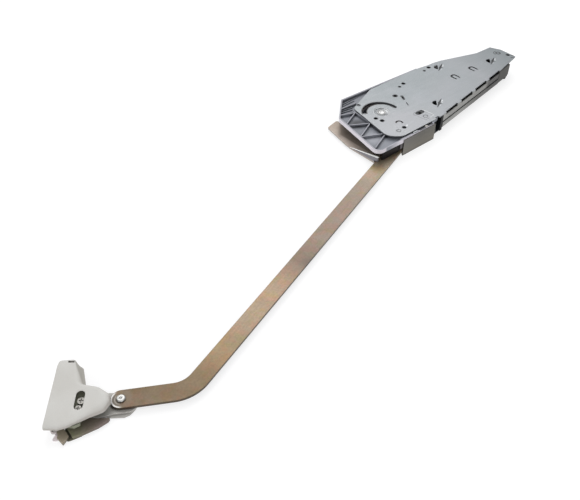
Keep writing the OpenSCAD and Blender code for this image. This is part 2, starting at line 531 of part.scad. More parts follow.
cap_in = [[-66,30.2,0], [-48.2,31.4,2], [-44.8,27.6,3], [-38.2,7.2,4], [-21,3.9,6], [-11.4,-2,4], [-9.9,-8,4], [-13.6,-14.8,3],
  [-24.4,-21,4], [-33,-26.5,4], [-42.4,-32,4], [-49.2,-34.2,4], [-66,-34,0]];
cap_z0 = 12.6;
cap_fall = 7;   // the top falls by this angle from the far corner to the near edge
// everything above the sloping top plane, lowered by d
module above_top(d) translate([-80, 33, cap_top - d]) rotate([cap_fall, 0, 0]) translate([0, -90, 0]) cube([100, 130, 40]);
module bracket_cap() color([0.82, 0.81, 0.79]) at_bracket() difference() {
  slab(cap_z0, cap_top) polygon(rounded(cap_pts));
  above_top(0);
  difference() {
    slab(cap_z0 - 1, cap_top) polygon(rounded(cap_in));
    above_top(2.2);
  }
  // kidney slot over the adjusting screws
  slab(cap_z0, cap_top + 1) polygon(rounded([[-30.3,0.8,3.9], [-30.3,-18.2,3.9], [-38.5,-18.2,3.9], [-38.5,0.8,3.9]], 8));
  // recess at the far corner
  translate([-52.8, 30, cap_top - 3.2]) cube([6, 2.3, 5]);
}
module tilt_screw() color([0.80, 0.80, 0.78]) at_bracket() difference() {
  union() { rod(tilt_at, 3, 5.5, 15); rod(tilt_at, 3.5, 13, 15.6); }
  slab(14.6, 18) translate(tilt_at) { square([4.6, 1], center = true); square([1, 4.6], center = true); }
}
module lock_screw() color([0.80, 0.80, 0.78]) at_bracket() difference() {
  union() { rod(lock_at, 2, leaf_z0 + 0.2, 14); rod(lock_at, 3, 13, 15); }
  slab(14, 19) translate(lock_at) { square([4, 0.9], center = true); square([0.9, 4], center = true); }
}
clip_at = [-56, -31];
module release_clip() color([0.58, 0.55, 0.50]) at_bracket() difference() {
  slab(lug_z0, lug_z1 - 0.1)
    polygon(rounded([[-58.5,-33.5,2.3], [-58.5,-28.5,2.3], [-54.8,-28.5,1], [-50.6,-30.8,0.3], [-46.9,-28.9,0.5], [-40.5,-37.1,0.5], [-44,-45.1,0.5], [-50.9,-38.5,0.5], [-50.9,-34.4,0.5], [-54.8,-33.5,1]]));
  rod(clip_at, 1.3, 0, 6);
}
module clip_pin() color([0.75, 0.75, 0.74]) at_bracket() rod(clip_at, 1.24, lug_z0, lug_z1);

mount_plate();
plastic_housing();
side_cover();
inner_plate();
spring_channel();
bottom_channel();
black_clip();
pivot_pin();
thrust_washer();
top_spacer();
screw_sleeves();
end_block();
guide_rods();
damper_cylinder();
damper_clamp();
stop_buffer();
lever_plate();
arm_bar();
arm_rivets();
cam();
pivot_bush();
stop_pin();
carriage();
roller_pin();
roller();
damper_rod();
spring_left();
spring_right();
preload_plate();
preload_screw();
end_rivet();
end_washer();
hinge_lug();
bracket_body();
door_plate();
upper_leaf();
lower_leaf();
bracket_cap();
tilt_screw();
lock_screw();
release_clip();
clip_pin();
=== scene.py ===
import bpy, bmesh, math
from mathutils import Vector, Matrix, Quaternion


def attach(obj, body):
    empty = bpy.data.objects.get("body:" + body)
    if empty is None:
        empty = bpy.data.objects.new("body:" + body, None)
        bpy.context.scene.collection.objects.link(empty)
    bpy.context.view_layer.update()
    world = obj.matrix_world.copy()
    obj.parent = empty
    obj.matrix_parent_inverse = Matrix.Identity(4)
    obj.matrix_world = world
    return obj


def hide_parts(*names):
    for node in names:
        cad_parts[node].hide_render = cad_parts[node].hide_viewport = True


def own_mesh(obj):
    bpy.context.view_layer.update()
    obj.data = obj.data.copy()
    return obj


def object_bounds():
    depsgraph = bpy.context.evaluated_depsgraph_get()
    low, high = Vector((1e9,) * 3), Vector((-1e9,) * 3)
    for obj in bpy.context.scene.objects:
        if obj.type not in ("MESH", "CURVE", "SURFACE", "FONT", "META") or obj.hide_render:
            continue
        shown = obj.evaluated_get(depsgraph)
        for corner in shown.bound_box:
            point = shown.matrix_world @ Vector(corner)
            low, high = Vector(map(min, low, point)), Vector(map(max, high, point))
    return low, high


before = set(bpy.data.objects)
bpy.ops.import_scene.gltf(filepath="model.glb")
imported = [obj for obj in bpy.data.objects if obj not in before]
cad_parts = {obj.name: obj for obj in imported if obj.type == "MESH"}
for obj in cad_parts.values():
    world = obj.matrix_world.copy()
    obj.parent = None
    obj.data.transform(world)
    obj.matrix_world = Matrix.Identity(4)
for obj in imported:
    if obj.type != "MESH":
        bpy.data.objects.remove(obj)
cad_lo, cad_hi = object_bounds()
scene = bpy.context.scene
MM = 0.001
UNIT_T = 27.5                      # bench height of the outer face, in mm
Z = lambda z: (z - UNIT_T) * MM    # bench height -> frame height

# ------------------------------------------------------------------ helpers
def link(o):
    scene.collection.objects.link(o)
    return o

def srgb(r, g, b, k=1.0):
    f = lambda c: (c / 12.92 if c <= 0.04045 else ((c + 0.055) / 1.055) ** 2.4)
    return tuple(min(1.0, k * f(c / 255.0)) for c in (r, g, b)) + (1.0,)

class NT:
    """Small helper round a material's node tree."""
    def __init__(self, name):
        self.mat = bpy.data.materials.new(name)
        self.mat.use_nodes = True
        self.t = self.mat.node_tree
        self.bsdf = self.t.nodes["Principled BSDF"]
        tc = self.t.nodes.new("ShaderNodeTexCoord")
        self.co = tc.outputs["Object"]
    def n(self, kind, **kw):
        x = self.t.nodes.new(kind)
        for k, v in kw.items():
            setattr(x, k, v)
        return x
    def link(self, a, b):
        self.t.links.new(a, b)
    def mapping(self, scale=(1, 1, 1), rot=(0, 0, 0), loc=(0, 0, 0)):
        m = self.n("ShaderNodeMapping")
        m.inputs["Scale"].default_value = scale
        m.inputs["Rotation"].default_value = rot
        m.inputs["Location"].default_value = loc
        self.link(self.co, m.inputs["Vector"])
        return m.outputs["Vector"]
    def noise(self, scale, detail=5.0, rough=0.55, vec=None, dist=0.0):
        x = self.n("ShaderNodeTexNoise")
        x.inputs["Scale"].default_value = scale
        x.inputs["Detail"].default_value = detail
        x.inputs["Roughness"].default_value = rough
        x.inputs["Distortion"].default_value = dist
        self.link(vec if vec is not None else self.co, x.inputs["Vector"])
        return x.outputs["Fac"]
    def voronoi(self, scale, vec=None, feature="F1"):
        x = self.n("ShaderNodeTexVoronoi", feature=feature)
        x.inputs["Scale"].default_value = scale
        self.link(vec if vec is not None else self.co, x.inputs["Vector"])
        return x.outputs["Distance"]
    def ramp(self, fac, stops, interp="LINEAR"):
        x = self.n("ShaderNodeValToRGB")
        x.color_ramp.interpolation = interp
        el = x.color_ramp.elements
        while len(el) < len(stops):
            el.new(0.5)
        for e, (p, c) in zip(el, stops):
            e.position = p
            e.color = c if not isinstance(c, (int, float)) else (c, c, c, 1)
        self.link(fac, x.inputs["Fac"])
        return x.outputs["Color"]
    def maprange(self, fac, a, b, c, d, smooth=False):
        x = self.n("ShaderNodeMapRange")
        if smooth:
            x.interpolation_type = "SMOOTHSTEP"
        for i, v in zip(("From Min", "From Max", "To Min", "To Max"), (a, b, c, d)):
            x.inputs[i].default_value = v
        self.link(fac, x.inputs["Value"])
        return x.outputs["Result"]
    def math(self, op, a, b=None, c=None):
        x = self.n("ShaderNodeMath", operation=op)
        for i, v in enumerate((a, b, c)):
            if v is None:
                continue
            if isinstance(v, (int, float)):
                x.inputs[i].default_value = v
            else:
                self.link(v, x.inputs[i])
        return x.outputs[0]
    def vmath(self, op, a, b=None, out=0):
        x = self.n("ShaderNodeVectorMath", operation=op)
        for i, v in enumerate((a, b)):
            if v is None:
                continue
            if isinstance(v, (tuple, list)):
                x.inputs[i].default_value = v
            else:
                self.link(v, x.inputs[i])
        return x.outputs[out]
    def mix(self, fac, a, b, blend="MIX"):
        x = self.n("ShaderNodeMix", data_type="RGBA", blend_type=blend)
        for i, v in ((0, fac), (6, a), (7, b)):
            if isinstance(v, (int, float)):
                x.inputs[i].default_value = v
            elif isinstance(v, (tuple, list)):
                x.inputs[i].default_value = v
            else:
                self.link(v, x.inputs[i])
        return x.outputs[2]
    def sep(self, vec=None):
        x = self.n("ShaderNodeSeparateXYZ")
        self.link(vec if vec is not None else self.co, x.inputs[0])
        return x.outputs
    def dist2(self, p):
        """Distance in plan from the point p (mm), in metres."""
        s = self.sep()
        dx = self.math("SUBTRACT", s[0], p[0] * MM)
        dy = self.math("SUBTRACT", s[1], p[1] * MM)
        return self.math("SQRT", self.math("ADD", self.math("MULTIPLY", dx, dx), self.math("MULTIPLY", dy, dy)))
    def along(self, p, ang):
        """Signed distance from p (mm) in the plan direction ang (degrees), in metres."""
        s = self.sep()
        c, d = math.cos(math.radians(ang)), math.sin(math.radians(ang))
        dx = self.math("SUBTRACT", s[0], p[0] * MM)
        dy = self.math("SUBTRACT", s[1], p[1] * MM)
        return self.math("ADD", self.math("MULTIPLY", dx, c), self.math("MULTIPLY", dy, d))
    def bump(self, height, strength=0.2, distance=0.0002, radius=0.0003, relief=None, relief_h=0.0004):
        b = self.n("ShaderNodeBump")
        b.inputs["Strength"].default_value = strength
        b.inputs["Distance"].default_value = distance
        self.link(height, b.inputs["Height"])
        if radius:
            bv = self.n("ShaderNodeBevel", samples=4)
            bv.inputs["Radius"].default_value = radius
            src = bv.outputs[0]
            if relief is not None:
                m = self.n("ShaderNodeBump")
                m.inputs["Strength"].default_value = 1.0
                m.inputs["Distance"].default_value = relief_h
                self.link(relief, m.inputs["Height"])
                self.link(src, m.inputs["Normal"])
                src = m.outputs[0]
            self.link(src, b.inputs["Normal"])
        self.link(b.outputs[0], self.bsdf.inputs["Normal"])
    def edge(self, radius=0.0006, lo=0.02, hi=0.25):
        """1 on outer edges, 0 on flats."""
        bv = self.n("ShaderNodeBevel", samples=4)
        bv.inputs["Radius"].default_value = radius
        g = self.n("ShaderNodeNewGeometry")
        dot = self.vmath("DOT_PRODUCT", bv.outputs[0], g.outputs["Normal"], out="Value")
        return self.maprange(self.math("SUBTRACT", 1.0, dot), lo, hi, 0.0, 1.0, smooth=True)
    def painted_shade(self, col, dist=0.006, strength=0.8, lo=0.25, hi=0.95, dark=(0.012, 0.012, 0.014, 1)):
        """Painted shade from ambient occlusion: darkens corners, holes and narrow gaps where shade falls."""
        x = self.n("ShaderNodeAmbientOcclusion", samples=12)
        x.inputs["Distance"].default_value = dist
        f = self.maprange(x.outputs["AO"], lo, hi, strength, 0.0, True)
        return self.mix(f, col, dark)
    def band(self, d, r0, r1, soft=0.0003):
        """1 where the distance d lies between r0 and r1, in metres."""
        a = self.maprange(d, r0 - soft, r0 + soft, 0.0, 1.0, True)
        b = self.maprange(d, r1 - soft, r1 + soft, 1.0, 0.0, True)
        return self.math("MULTIPLY", a, b)
    def box_sdf(self, p, ang, half, r):
        """Signed distance to a rounded rectangle in plan: centre p (mm), angle, half sizes and corner radius (mm)."""
        ax = self.math("ABSOLUTE", self.along(p, ang))
        ay = self.math("ABSOLUTE", self.along(p, ang + 90))
        qx = self.math("SUBTRACT", ax, (half[0] - r) * MM)
        qy = self.math("SUBTRACT", ay, (half[1] - r) * MM)
        mx, my = self.math("MAXIMUM", qx, 0.0), self.math("MAXIMUM", qy, 0.0)
        out = self.math("SQRT", self.math("ADD", self.math("MULTIPLY", mx, mx), self.math("MULTIPLY", my, my)))
        ins = self.math("MINIMUM", self.math("MAXIMUM", qx, qy), 0.0)
        return self.math("SUBTRACT", self.math("ADD", out, ins), r * MM)
    def angle(self, p=(0, 0)):
        """Plan angle round p (mm), in degrees."""
        s = self.sep()
        a = self.math("ARCTAN2", self.math("SUBTRACT", s[1], p[1] * MM), self.math("SUBTRACT", s[0], p[0] * MM))
        return self.math("MULTIPLY", a, 180 / math.pi)
    def facing_up(self):
        g = self.n("ShaderNodeNewGeometry")
        return self.math("MAXIMUM", self.sep(g.outputs["True Normal"])[2], 0.0)
    def set(self, **kw):
        for k, v in kw.items():
            self.bsdf.inputs[k.replace("_", " ")].default_value = v

def metal(name, a, b, edge=None, metallic=0.7, rough=(0.32, 0.48), streak=(14, 14, 14), mottle=38.0,
          fine=900.0, grit=0.10, bump=0.10, wear=0.35, side=None, shade=None, painted_shade=(0.006, 0.8), relief=None, relief_h=0.0004, post=None):
    """Plated sheet steel: cloudy passivation, fine rolling grain, small specks and lighter worn edges."""
    t = NT(name)
    cloud = t.noise(mottle, 4, 0.6, dist=0.6)
    grain = t.noise(1.0, 3, 0.6, vec=t.mapping(scale=streak))
    speck = t.noise(fine, 3, 0.7)
    f = t.math("ADD", t.math("MULTIPLY", cloud, 0.62), t.math("MULTIPLY", grain, 0.38))
    col = t.ramp(f, [(0.36, a), (0.64, b)])
    col = t.mix(t.maprange(speck, 0.35, 0.65, 0.0, grit), col, (0.10, 0.10, 0.10, 1), "MULTIPLY")
    if shade:
        col = shade(t, col)
    if side is not None:      # painted shade: upright faces are darkened, as if lit less than the flat faces
        up = t.facing_up()
        col = t.mix(t.maprange(up, 0.15, 0.75, 1.0, 0.0, True), col, side, "MULTIPLY")
    if edge is not None:
        col = t.mix(t.math("MULTIPLY", t.edge(), wear), col, edge)
    if painted_shade:
        col = t.painted_shade(col, *painted_shade)
    if post:
        col = post(t, col)
    t.link(col, t.bsdf.inputs["Base Color"])
    t.link(t.maprange(t.math("ADD", t.math("MULTIPLY", cloud, 0.5), t.math("MULTIPLY", speck, 0.5)), 0.35, 0.65, rough[0], rough[1]),
           t.bsdf.inputs["Roughness"])
    t.set(Metallic=metallic)
    t.bump(t.math("ADD", t.math("MULTIPLY", grain, 0.6), t.math("MULTIPLY", speck, 0.4)), bump,
           relief=relief(t) if relief else None, relief_h=relief_h)
    return t.mat

def plastic(name, a, b, edge=None, rough=(0.42, 0.55), fine=1400.0, mottle=30.0, bump=0.12, wear=0.3, spec=0.45, side=None, shade=None,
            radius=0.0004, painted_shade=(0.006, 0.7), post=None):
    """Moulded plastic: faint flow clouds and a fine spark-eroded grain."""
    t = NT(name)
    cloud = t.noise(mottle, 4, 0.5, dist=0.4)
    grain = t.noise(fine, 2, 0.6)
    pit = t.voronoi(fine * 0.8)
    col = t.ramp(cloud, [(0.35, a), (0.65, b)])
    col = t.mix(t.maprange(grain, 0.3, 0.7, 0.0, 0.06), col, (0.15, 0.15, 0.16, 1), "MULTIPLY")
    if shade:
        col = shade(t, col)
    # painted shade: upright faces are darkened, as if lit less than the flat faces
    if side is not None:
        col = t.mix(t.maprange(t.facing_up(), 0.1, 0.8, 1.0, 0.0, True), col, side, "MULTIPLY")
    if edge is not None:
        col = t.mix(t.math("MULTIPLY", t.edge(0.0008), wear), col, edge)
    if painted_shade:
        col = t.painted_shade(col, *painted_shade)
    if post:
        col = post(t, col)
    t.link(col, t.bsdf.inputs["Base Color"])
    t.link(t.maprange(t.math("ADD", t.math("MULTIPLY", grain, 0.6), t.math("MULTIPLY", cloud, 0.4)), 0.3, 0.7, rough[0], rough[1]),
           t.bsdf.inputs["Roughness"])
    t.bsdf.inputs["Specular IOR Level"].default_value = spec
    t.bump(t.math("ADD", t.math("MULTIPLY", grain, 0.5), t.math("MULTIPLY", pit, 0.5)), bump, 0.00012, radius)
    return t.mat

# ------------------------------------------------------------------ materials
def plate_shade(t, col):
    # warm haze in places, lighter towards the near end, darker towards the narrow end, painted shade in the sunk dents
    s = t.sep()
    warm = t.maprange(t.noise(7.0, 2, 0.5), 0.42, 0.62, 0.0, 0.45)
    col = t.mix(warm, col, srgb(168, 166, 171))
    near = t.maprange(t.along((-20, -20), 10), 0.0, 0.09, 0.25, 0.0)
    col = t.mix(near, col, srgb(172, 174, 174))
    col = t.mix(t.maprange(s[0], 0.03, 0.11, 0.0, 0.35), col, srgb(150, 156, 159))
    far = t.maprange(s[0], 0.19, 0.275, 0.0, 0.85)
    col = t.mix(far, col, srgb(130, 137, 140))
    # short rolled scratches and pale handling marks
    scr = t.noise(1.0, 2, 0.5, vec=t.mapping(scale=(40, 900, 40), rot=(0, 0, 0.35)))
    col = t.mix(t.maprange(scr, 0.66, 0.74, 0.0, 0.3), col, srgb(205, 208, 210))
    # pressed pad round the upper screw hole: painted highlight on its right-hand edge, painted shade on its left-hand
    # edge
    d = t.box_sdf((40.6, -41.6), 8, (9.4, 11.4), 3.0)
    rim = t.band(d, -0.0005, 0.0004, 0.0003)
    right = t.maprange(t.along((40.6, -41.6), -15), 0.001, 0.008, 0.0, 1.0, True)
    col = t.mix(t.math("MULTIPLY", t.math("MULTIPLY", rim, right), 0.9), col, srgb(245, 247, 248))
    left = t.maprange(t.along((40.6, -41.6), 165), 0.001, 0.008, 0.0, 1.0, True)
    col = t.mix(t.math("MULTIPLY", t.math("MULTIPLY", rim, left), 0.35), col, srgb(96, 98, 100))
    # pressed rings round the pivot, drawn in painted light and shade, and painted highlights to the right of the rivet
    r = t.dist2((0, 0))
    for r0, r1, k, c in ((0.0098, 0.0106, 0.5, srgb(118, 120, 122)), (0.0108, 0.0116, 0.45, srgb(228, 230, 230)),
                         (0.0078, 0.0086, 0.4, srgb(120, 121, 122))):
        col = t.mix(t.math("MULTIPLY", t.band(r, r0, r1), k), col, c)
    glint = t.math("MULTIPLY", t.maprange(t.along((0, 0), -12), 0.004, 0.010, 0.0, 1.0, True), t.band(r, 0.0050, 0.0102, 0.0006))
    col = t.mix(t.math("MULTIPLY", glint, 0.5), col, srgb(240, 242, 242))
    q = t.box_sdf((8.9, -1.2), -14, (1.7, 4.2), 1.4)
    col = t.mix(t.maprange(q, -0.0012, 0.0012, 0.6, 0.0, True), col, srgb(232, 234, 236))
    # painted shade on the arc slot's lip where the slot is deepest
    ang = t.angle()
    deep = t.math("MULTIPLY", t.maprange(ang, 30, 80, 0.0, 1.0, True), t.maprange(ang, 150, 154, 1.0, 0.0, True))
    col = t.mix(t.math("MULTIPLY", t.math("MULTIPLY", t.band(r, 0.0199, 0.0285, 0.0004), deep), 0.88), col, srgb(44, 38, 36))
    # glints on the raised lips beside the crossed dents, and on a small bent tab
    for hx, hy, ha in ((159.3, 35.1, -43), (78.1, -33.3, -43), (237.2, -3.8, -45)):
        c, d = math.cos(math.radians(ha)), math.sin(math.radians(ha))
        for lx, ly, an, hl, hw, k in ((8.3, 6.4, 71, 2.4, 0.7, 0.6), (4.4, -6.4, 71, 1.6, 0.5, 0.3), (7.6, 1.9, 0, 1.6, 0.5, 0.5)):
            q = t.box_sdf((hx + lx * c - ly * d, hy + lx * d + ly * c), ha + an, (hl, hw), min(hl, hw) * 0.9)
            col = t.mix(t.maprange(q, -0.0003, 0.0004, k, 0.0, True), col, srgb(242, 244, 246))
    q = t.box_sdf((2.2, -46.2), 25, (2.4, 1.0), 0.9)
    col = t.mix(t.maprange(q, -0.0004, 0.0004, 0.45, 0.0, True), col, srgb(236, 238, 240))
    # painted shade: dark discs round the holes and sleeves, standing in for the shade inside them
    for x, y, q in ((46.7, 18.4, 4.1), (40.3, -35.1, 3.5), (81.7, 35, 3.4), (-11.9, 34, 3.1), (-17.8, -6.4, 3.2), (-15.1, -15.9, 3.6),
                    (-4.1, -47, 3.3), (70.8, 32.1, 2.6), (134.8, 41, 2.5), (147.7, 43.9, 3.4), (274.6, -9.4, 3.3)):
        col = t.mix(t.math("MULTIPLY", t.band(t.dist2((x, y)), 0.0, q * MM, 0.0003), 0.9), col, srgb(34, 35, 36))
    # crescent hole, spring tongues and the short slash: painted shade darkening their rims
    c = t.math("MULTIPLY", t.band(t.dist2((-0.8, -34.8)), 0.0030, 0.0056, 0.0003), t.maprange(t.along((-0.8, -34.8), 47), -0.0012, -0.0004, 0.0, 1.0, True))
    col = t.mix(t.math("MULTIPLY", c, 0.85), col, srgb(58, 42, 38))
    for x, y in ((156.7, -1.4), (196.9, -2.6)):
        o = t.maprange(t.box_sdf((x - 0.05, y + 0.6), 0, (5.0, 6.7), 4.2), 0.0001, 0.0006, 1.0, 0.0, True)
        i = t.maprange(t.box_sdf((x - 0.05, y - 1.0), 0, (2.85, 5.9), 2.6), -0.0006, -0.0001, 0.0, 1.0, True)
        e = t.maprange(s[1], (y - 6.3) * MM, (y - 5.9) * MM, 0.0, 1.0)
        col = t.mix(t.math("MULTIPLY", t.math("MULTIPLY", t.math("MULTIPLY", o, i), e), 0.85), col, srgb(46, 48, 50))
    q = t.box_sdf((51.9, 8.3), 65, (5.6, 2.2), 1.3)
    col = t.mix(t.maprange(q, -0.0003, 0.0003, 0.85, 0.0, True), col, srgb(44, 45, 47))
    # small pressed marks at the narrow end: ring, short arc and two strokes
    rt = t.dist2((267.6, 4.5))
    col = t.mix(t.math("MULTIPLY", t.band(rt, 0.0024, 0.0042, 0.0002), 0.95), col, srgb(38, 41, 44))
    c = t.math("MULTIPLY", t.band(rt, 0.0062, 0.0072, 0.0003), t.maprange(t.along((267.6, 4.5), 125), 0.0028, 0.0038, 0.0, 1.0, True))
    col = t.mix(t.math("MULTIPLY", c, 0.95), col, srgb(38, 41, 44))
    for x, y in ((278.0, -15.6), (272.6, -19.4)):
        q = t.box_sdf((x, y), -40, (2.8, 0.8), 0.6)
        col = t.mix(t.maprange(q, -0.0002, 0.0002, 0.95, 0.0, True), col, srgb(40, 43, 46))
    # dents: painted shade on the sunk floor
    low = t.math("MULTIPLY", t.maprange(s[2], Z(27.14), Z(27.3), 1.0, 0.0), t.maprange(r, 0.0103, 0.0108, 0.0, 1.0))
    low = t.math("MULTIPLY", low, t.maprange(t.facing_up(), 0.5, 0.8, 0.0, 1.0))
    col = t.mix(t.math("MULTIPLY", low, 0.94), col, srgb(30, 32, 34))
    # painted shade: upright faces, such as sheared edges and the walls of holes, are darkened
    return t.mix(t.maprange(t.facing_up(), 0.3, 0.8, 0.35, 0.0, True), col, srgb(60, 60, 62))

def plate_relief(t):
    d = t.box_sdf((40.6, -41.6), 8, (9.4, 11.4), 3.0)
    pad = t.maprange(d, -0.0006, 0.0003, 1.0, 0.0, True)
    r = t.dist2((0, 0))
    ring = t.math("MULTIPLY", t.band(r, 0.0106, 0.0118, 0.0004), 0.6)
    ring2 = t.math("MULTIPLY", t.band(r, 0.0076, 0.0086, 0.0004), 0.7)
    ripple = t.math("MULTIPLY", t.noise(26.0, 2, 0.4), 0.25)
    return t.math("ADD", t.math("ADD", pad, ripple), t.math("ADD", ring, ring2))

M = {}
M["zinc_plate"] = metal("zinc_plate", srgb(150, 157, 160), srgb(168, 172, 177), srgb(214, 218, 221), metallic=0.4, rough=(0.34, 0.46),
                        streak=(20, 150, 20), mottle=22.0, fine=620.0, grit=0.22, shade=plate_shade, relief=plate_relief, painted_shade=(0.004, 0.7))
M["zinc_steel"] = metal("zinc_steel", srgb(150, 154, 157), srgb(178, 182, 185), srgb(214, 218, 222), metallic=0.5,
                        streak=(30, 120, 30), side=(0.6, 0.6, 0.6, 1), painted_shade=(0.009, 0.85))

SHADE_SPOT_AT, LIGHT_SPOT_AT = (-40.5, 5.4), (-49.0, -32.5)
def housing_shade(t, col):
    # the rim's top is paler; painted shade darkens the tray floor towards the back and in a soft spot by the ribs, and
    # a painted light spot brightens it elsewhere
    s = t.sep()
    rim = t.maprange(s[2], Z(25.2), Z(25.8), 0.0, 1.0, True)
    col = t.mix(t.math("MULTIPLY", rim, 0.75), col, srgb(182, 181, 190))
    left = t.maprange(t.along((-60, 0), 95), 0.0, 0.05, 0.0, 0.3)
    col = t.mix(left, col, srgb(104, 106, 112))
    low = t.maprange(s[2], Z(22.4), Z(24.6), 1.0, 0.0)
    shade_spot = t.math("MULTIPLY", t.maprange(t.dist2(SHADE_SPOT_AT), 0.004, 0.018, 0.92, 0.0, True), low)
    col = t.mix(shade_spot, col, srgb(52, 54, 59))
    clear = t.math("MULTIPLY", t.maprange(t.dist2(LIGHT_SPOT_AT), 0.004, 0.020, 0.6, 0.0, True), low)
    return t.mix(clear, col, srgb(176, 178, 186))
def housing_post(t, col):
    # painted light on the outer walls, lifting them to the rim's top tone; painted shade on the web below the rim;
    # painted shade on the rim's edge, marking two dark openings beside the cover
    s = t.sep()
    side = t.maprange(t.facing_up(), 0.4, 0.8, 1.0, 0.0)
    out = t.math("MAXIMUM", t.maprange(t.along((-63.65, -18), 169.6), -0.0007, -0.0002, 0.0, 1.0), t.maprange(s[1], -0.0650, -0.0645, 1.0, 0.0))
    corner = t.math("MULTIPLY", t.maprange(t.dist2((-61.6, -54.5)), 0.0082, 0.0088, 0.0, 1.0), t.maprange(t.along((-61.6, -54.5), 215), 0.0, 0.002, 0.0, 1.0))
    out = t.math("MULTIPLY", t.math("MAXIMUM", out, corner), side)
    col = t.mix(t.math("MULTIPLY", out, 0.92), col, srgb(226, 221, 229))
    col = t.mix(t.maprange(s[2], Z(20.0), Z(20.25), 0.9, 0.0), col, srgb(46, 38, 38))
    edge = t.math("MULTIPLY", t.maprange(s[1], -0.0622, -0.0626, 0.0, 1.0), t.maprange(s[2], Z(25.3), Z(25.7), 0.0, 1.0))
    hole = t.math("MAXIMUM", t.band(s[0], 0.0085, 0.0205, 0.0005), t.band(s[0], 0.0265, 0.0360, 0.0005))
    return t.mix(t.math("MULTIPLY", t.math("MULTIPLY", edge, hole), 0.85), col, srgb(46, 47, 52))
M["housing"] = plastic("housing", srgb(132, 136, 144), srgb(146, 149, 158), srgb(196, 197, 206), side=None,
                       shade=housing_shade, painted_shade=(0.005, 0.8), wear=0.5, post=housing_post)
def ledge_shade(t, col):
    # painted light and shade: fine dark and light stripes across the arc stand in for the ratchet teeth; painted shade,
    # browner and darker, towards the slot's deep end
    ang = t.angle()
    teeth = t.maprange(t.math("SINE", t.math("MULTIPLY", ang, 1.35)), -0.2, 0.5, 0.0, 1.0, True)
    col = t.mix(t.math("MULTIPLY", teeth, 0.55), col, srgb(60, 60, 62))
    return t.mix(t.maprange(ang, 24, 40, 0.0, 0.85, True), col, srgb(62, 50, 45))
M["ledge"] = plastic("ledge", srgb(150, 150, 152), srgb(172, 172, 176), srgb(206, 206, 210), shade=ledge_shade, painted_shade=None, wear=0.3)

def cover_shade(t, col):
    s = t.sep()
    # painted light: lighter towards its -x end. Paler and warmer towards the bottom.
    light = t.maprange(t.along((-24, -60), 0), 0.0, 0.03, 0.45, 0.0)
    col = t.mix(light, col, srgb(118, 116, 113))
    low = t.maprange(s[2], Z(2), Z(20), 0.3, 0.0)
    return t.mix(low, col, srgb(150, 142, 126))
M["cover"] = metal("cover", srgb(90, 88, 83), srgb(104, 101, 94), srgb(150, 148, 142), metallic=0.4, rough=(0.4, 0.52),
                   streak=(40, 40, 400), shade=cover_shade)

def channel_shade(t, col):
    # darker towards the narrow end and on the lower strip
    s = t.sep()
    col = t.mix(t.maprange(s[0], 0.09, 0.185, 0.0, 0.4), col, srgb(120, 118, 113))
    under = t.math("MULTIPLY", t.maprange(s[2], Z(13.0), Z(15.0), 1.0, 0.0), t.maprange(s[0], 0.100, 0.168, 0.0, 0.85, True))
    col = t.mix(under, col, srgb(62, 61, 57))
    return t.mix(t.maprange(s[0], 0.180, 0.192, 0.0, 0.93, True), col, srgb(48, 47, 44))
M["channel"] = metal("channel", srgb(134, 134, 131), srgb(158, 158, 155), srgb(208, 209, 208), metallic=0.4, streak=(20, 20, 500),
                     shade=channel_shade, painted_shade=(0.008, 0.92))
M["end_block"] = metal("end_block", srgb(45, 44, 41), srgb(63, 61, 56), srgb(116, 113, 105), metallic=0.25, rough=(0.45, 0.6))
M["black"] = plastic("black", srgb(12, 12, 13), srgb(21, 21, 22), srgb(44, 44, 46), rough=(0.45, 0.6), spec=0.25)

def pin_shade(t, col):
    # painted highlight on the dome in the middle, painted shade in two rings round it
    r = t.dist2((0, 0))
    for r0, r1, k, c in ((0.0040, 0.0048, 0.7, srgb(112, 112, 112)), (0.0060, 0.0070, 0.6, srgb(120, 121, 122)),
                         (0.0, 0.0030, 0.7, srgb(250, 250, 250))):
        col = t.mix(t.math("MULTIPLY", t.band(r, r0, r1, 0.0004), k), col, c)
    return col
def pin_relief(t):
    r = t.dist2((0, 0))
    return t.math("ADD", t.maprange(r, 0.0, 0.0036, 1.0, 0.0, True), t.math("MULTIPLY", t.band(r, 0.0048, 0.0058, 0.0004), 0.5))
M["pivot_head"] = metal("pivot_head", srgb(170, 171, 170), srgb(194, 195, 194), srgb(236, 236, 236), metallic=0.6, rough=(0.26, 0.4),
                        streak=(160, 160, 60), mottle=120.0, shade=pin_shade, relief=pin_relief, relief_h=0.0006, painted_shade=(0.003, 0.5))
M["bright"] = metal("bright", srgb(176, 176, 174), srgb(204, 204, 202), srgb(240, 240, 239), metallic=0.75, rough=(0.2, 0.34),
                    streak=(200, 200, 60), mottle=120.0, bump=0.06, painted_shade=(0.003, 0.6))
M["sleeve"] = metal("sleeve", srgb(96, 94, 88), srgb(128, 126, 120), srgb(190, 188, 184), metallic=0.7, rough=(0.26, 0.4),
                    streak=(200, 200, 60), mottle=160.0, bump=0.06, painted_shade=(0.006, 0.85))
M["screw"] = metal("screw", srgb(150, 147, 140), srgb(198, 195, 189), srgb(252, 251, 248), metallic=0.4, rough=(0.2, 0.32),
                   streak=(200, 200, 60), mottle=160.0, bump=0.06, wear=0.7, painted_shade=(0.0022, 0.75))
M["washer"] = metal("washer", srgb(168, 166, 160), srgb(198, 196, 190), srgb(246, 246, 246), metallic=0.7, rough=(0.22, 0.34), mottle=90.0,
                    painted_shade=(0.003, 0.6))

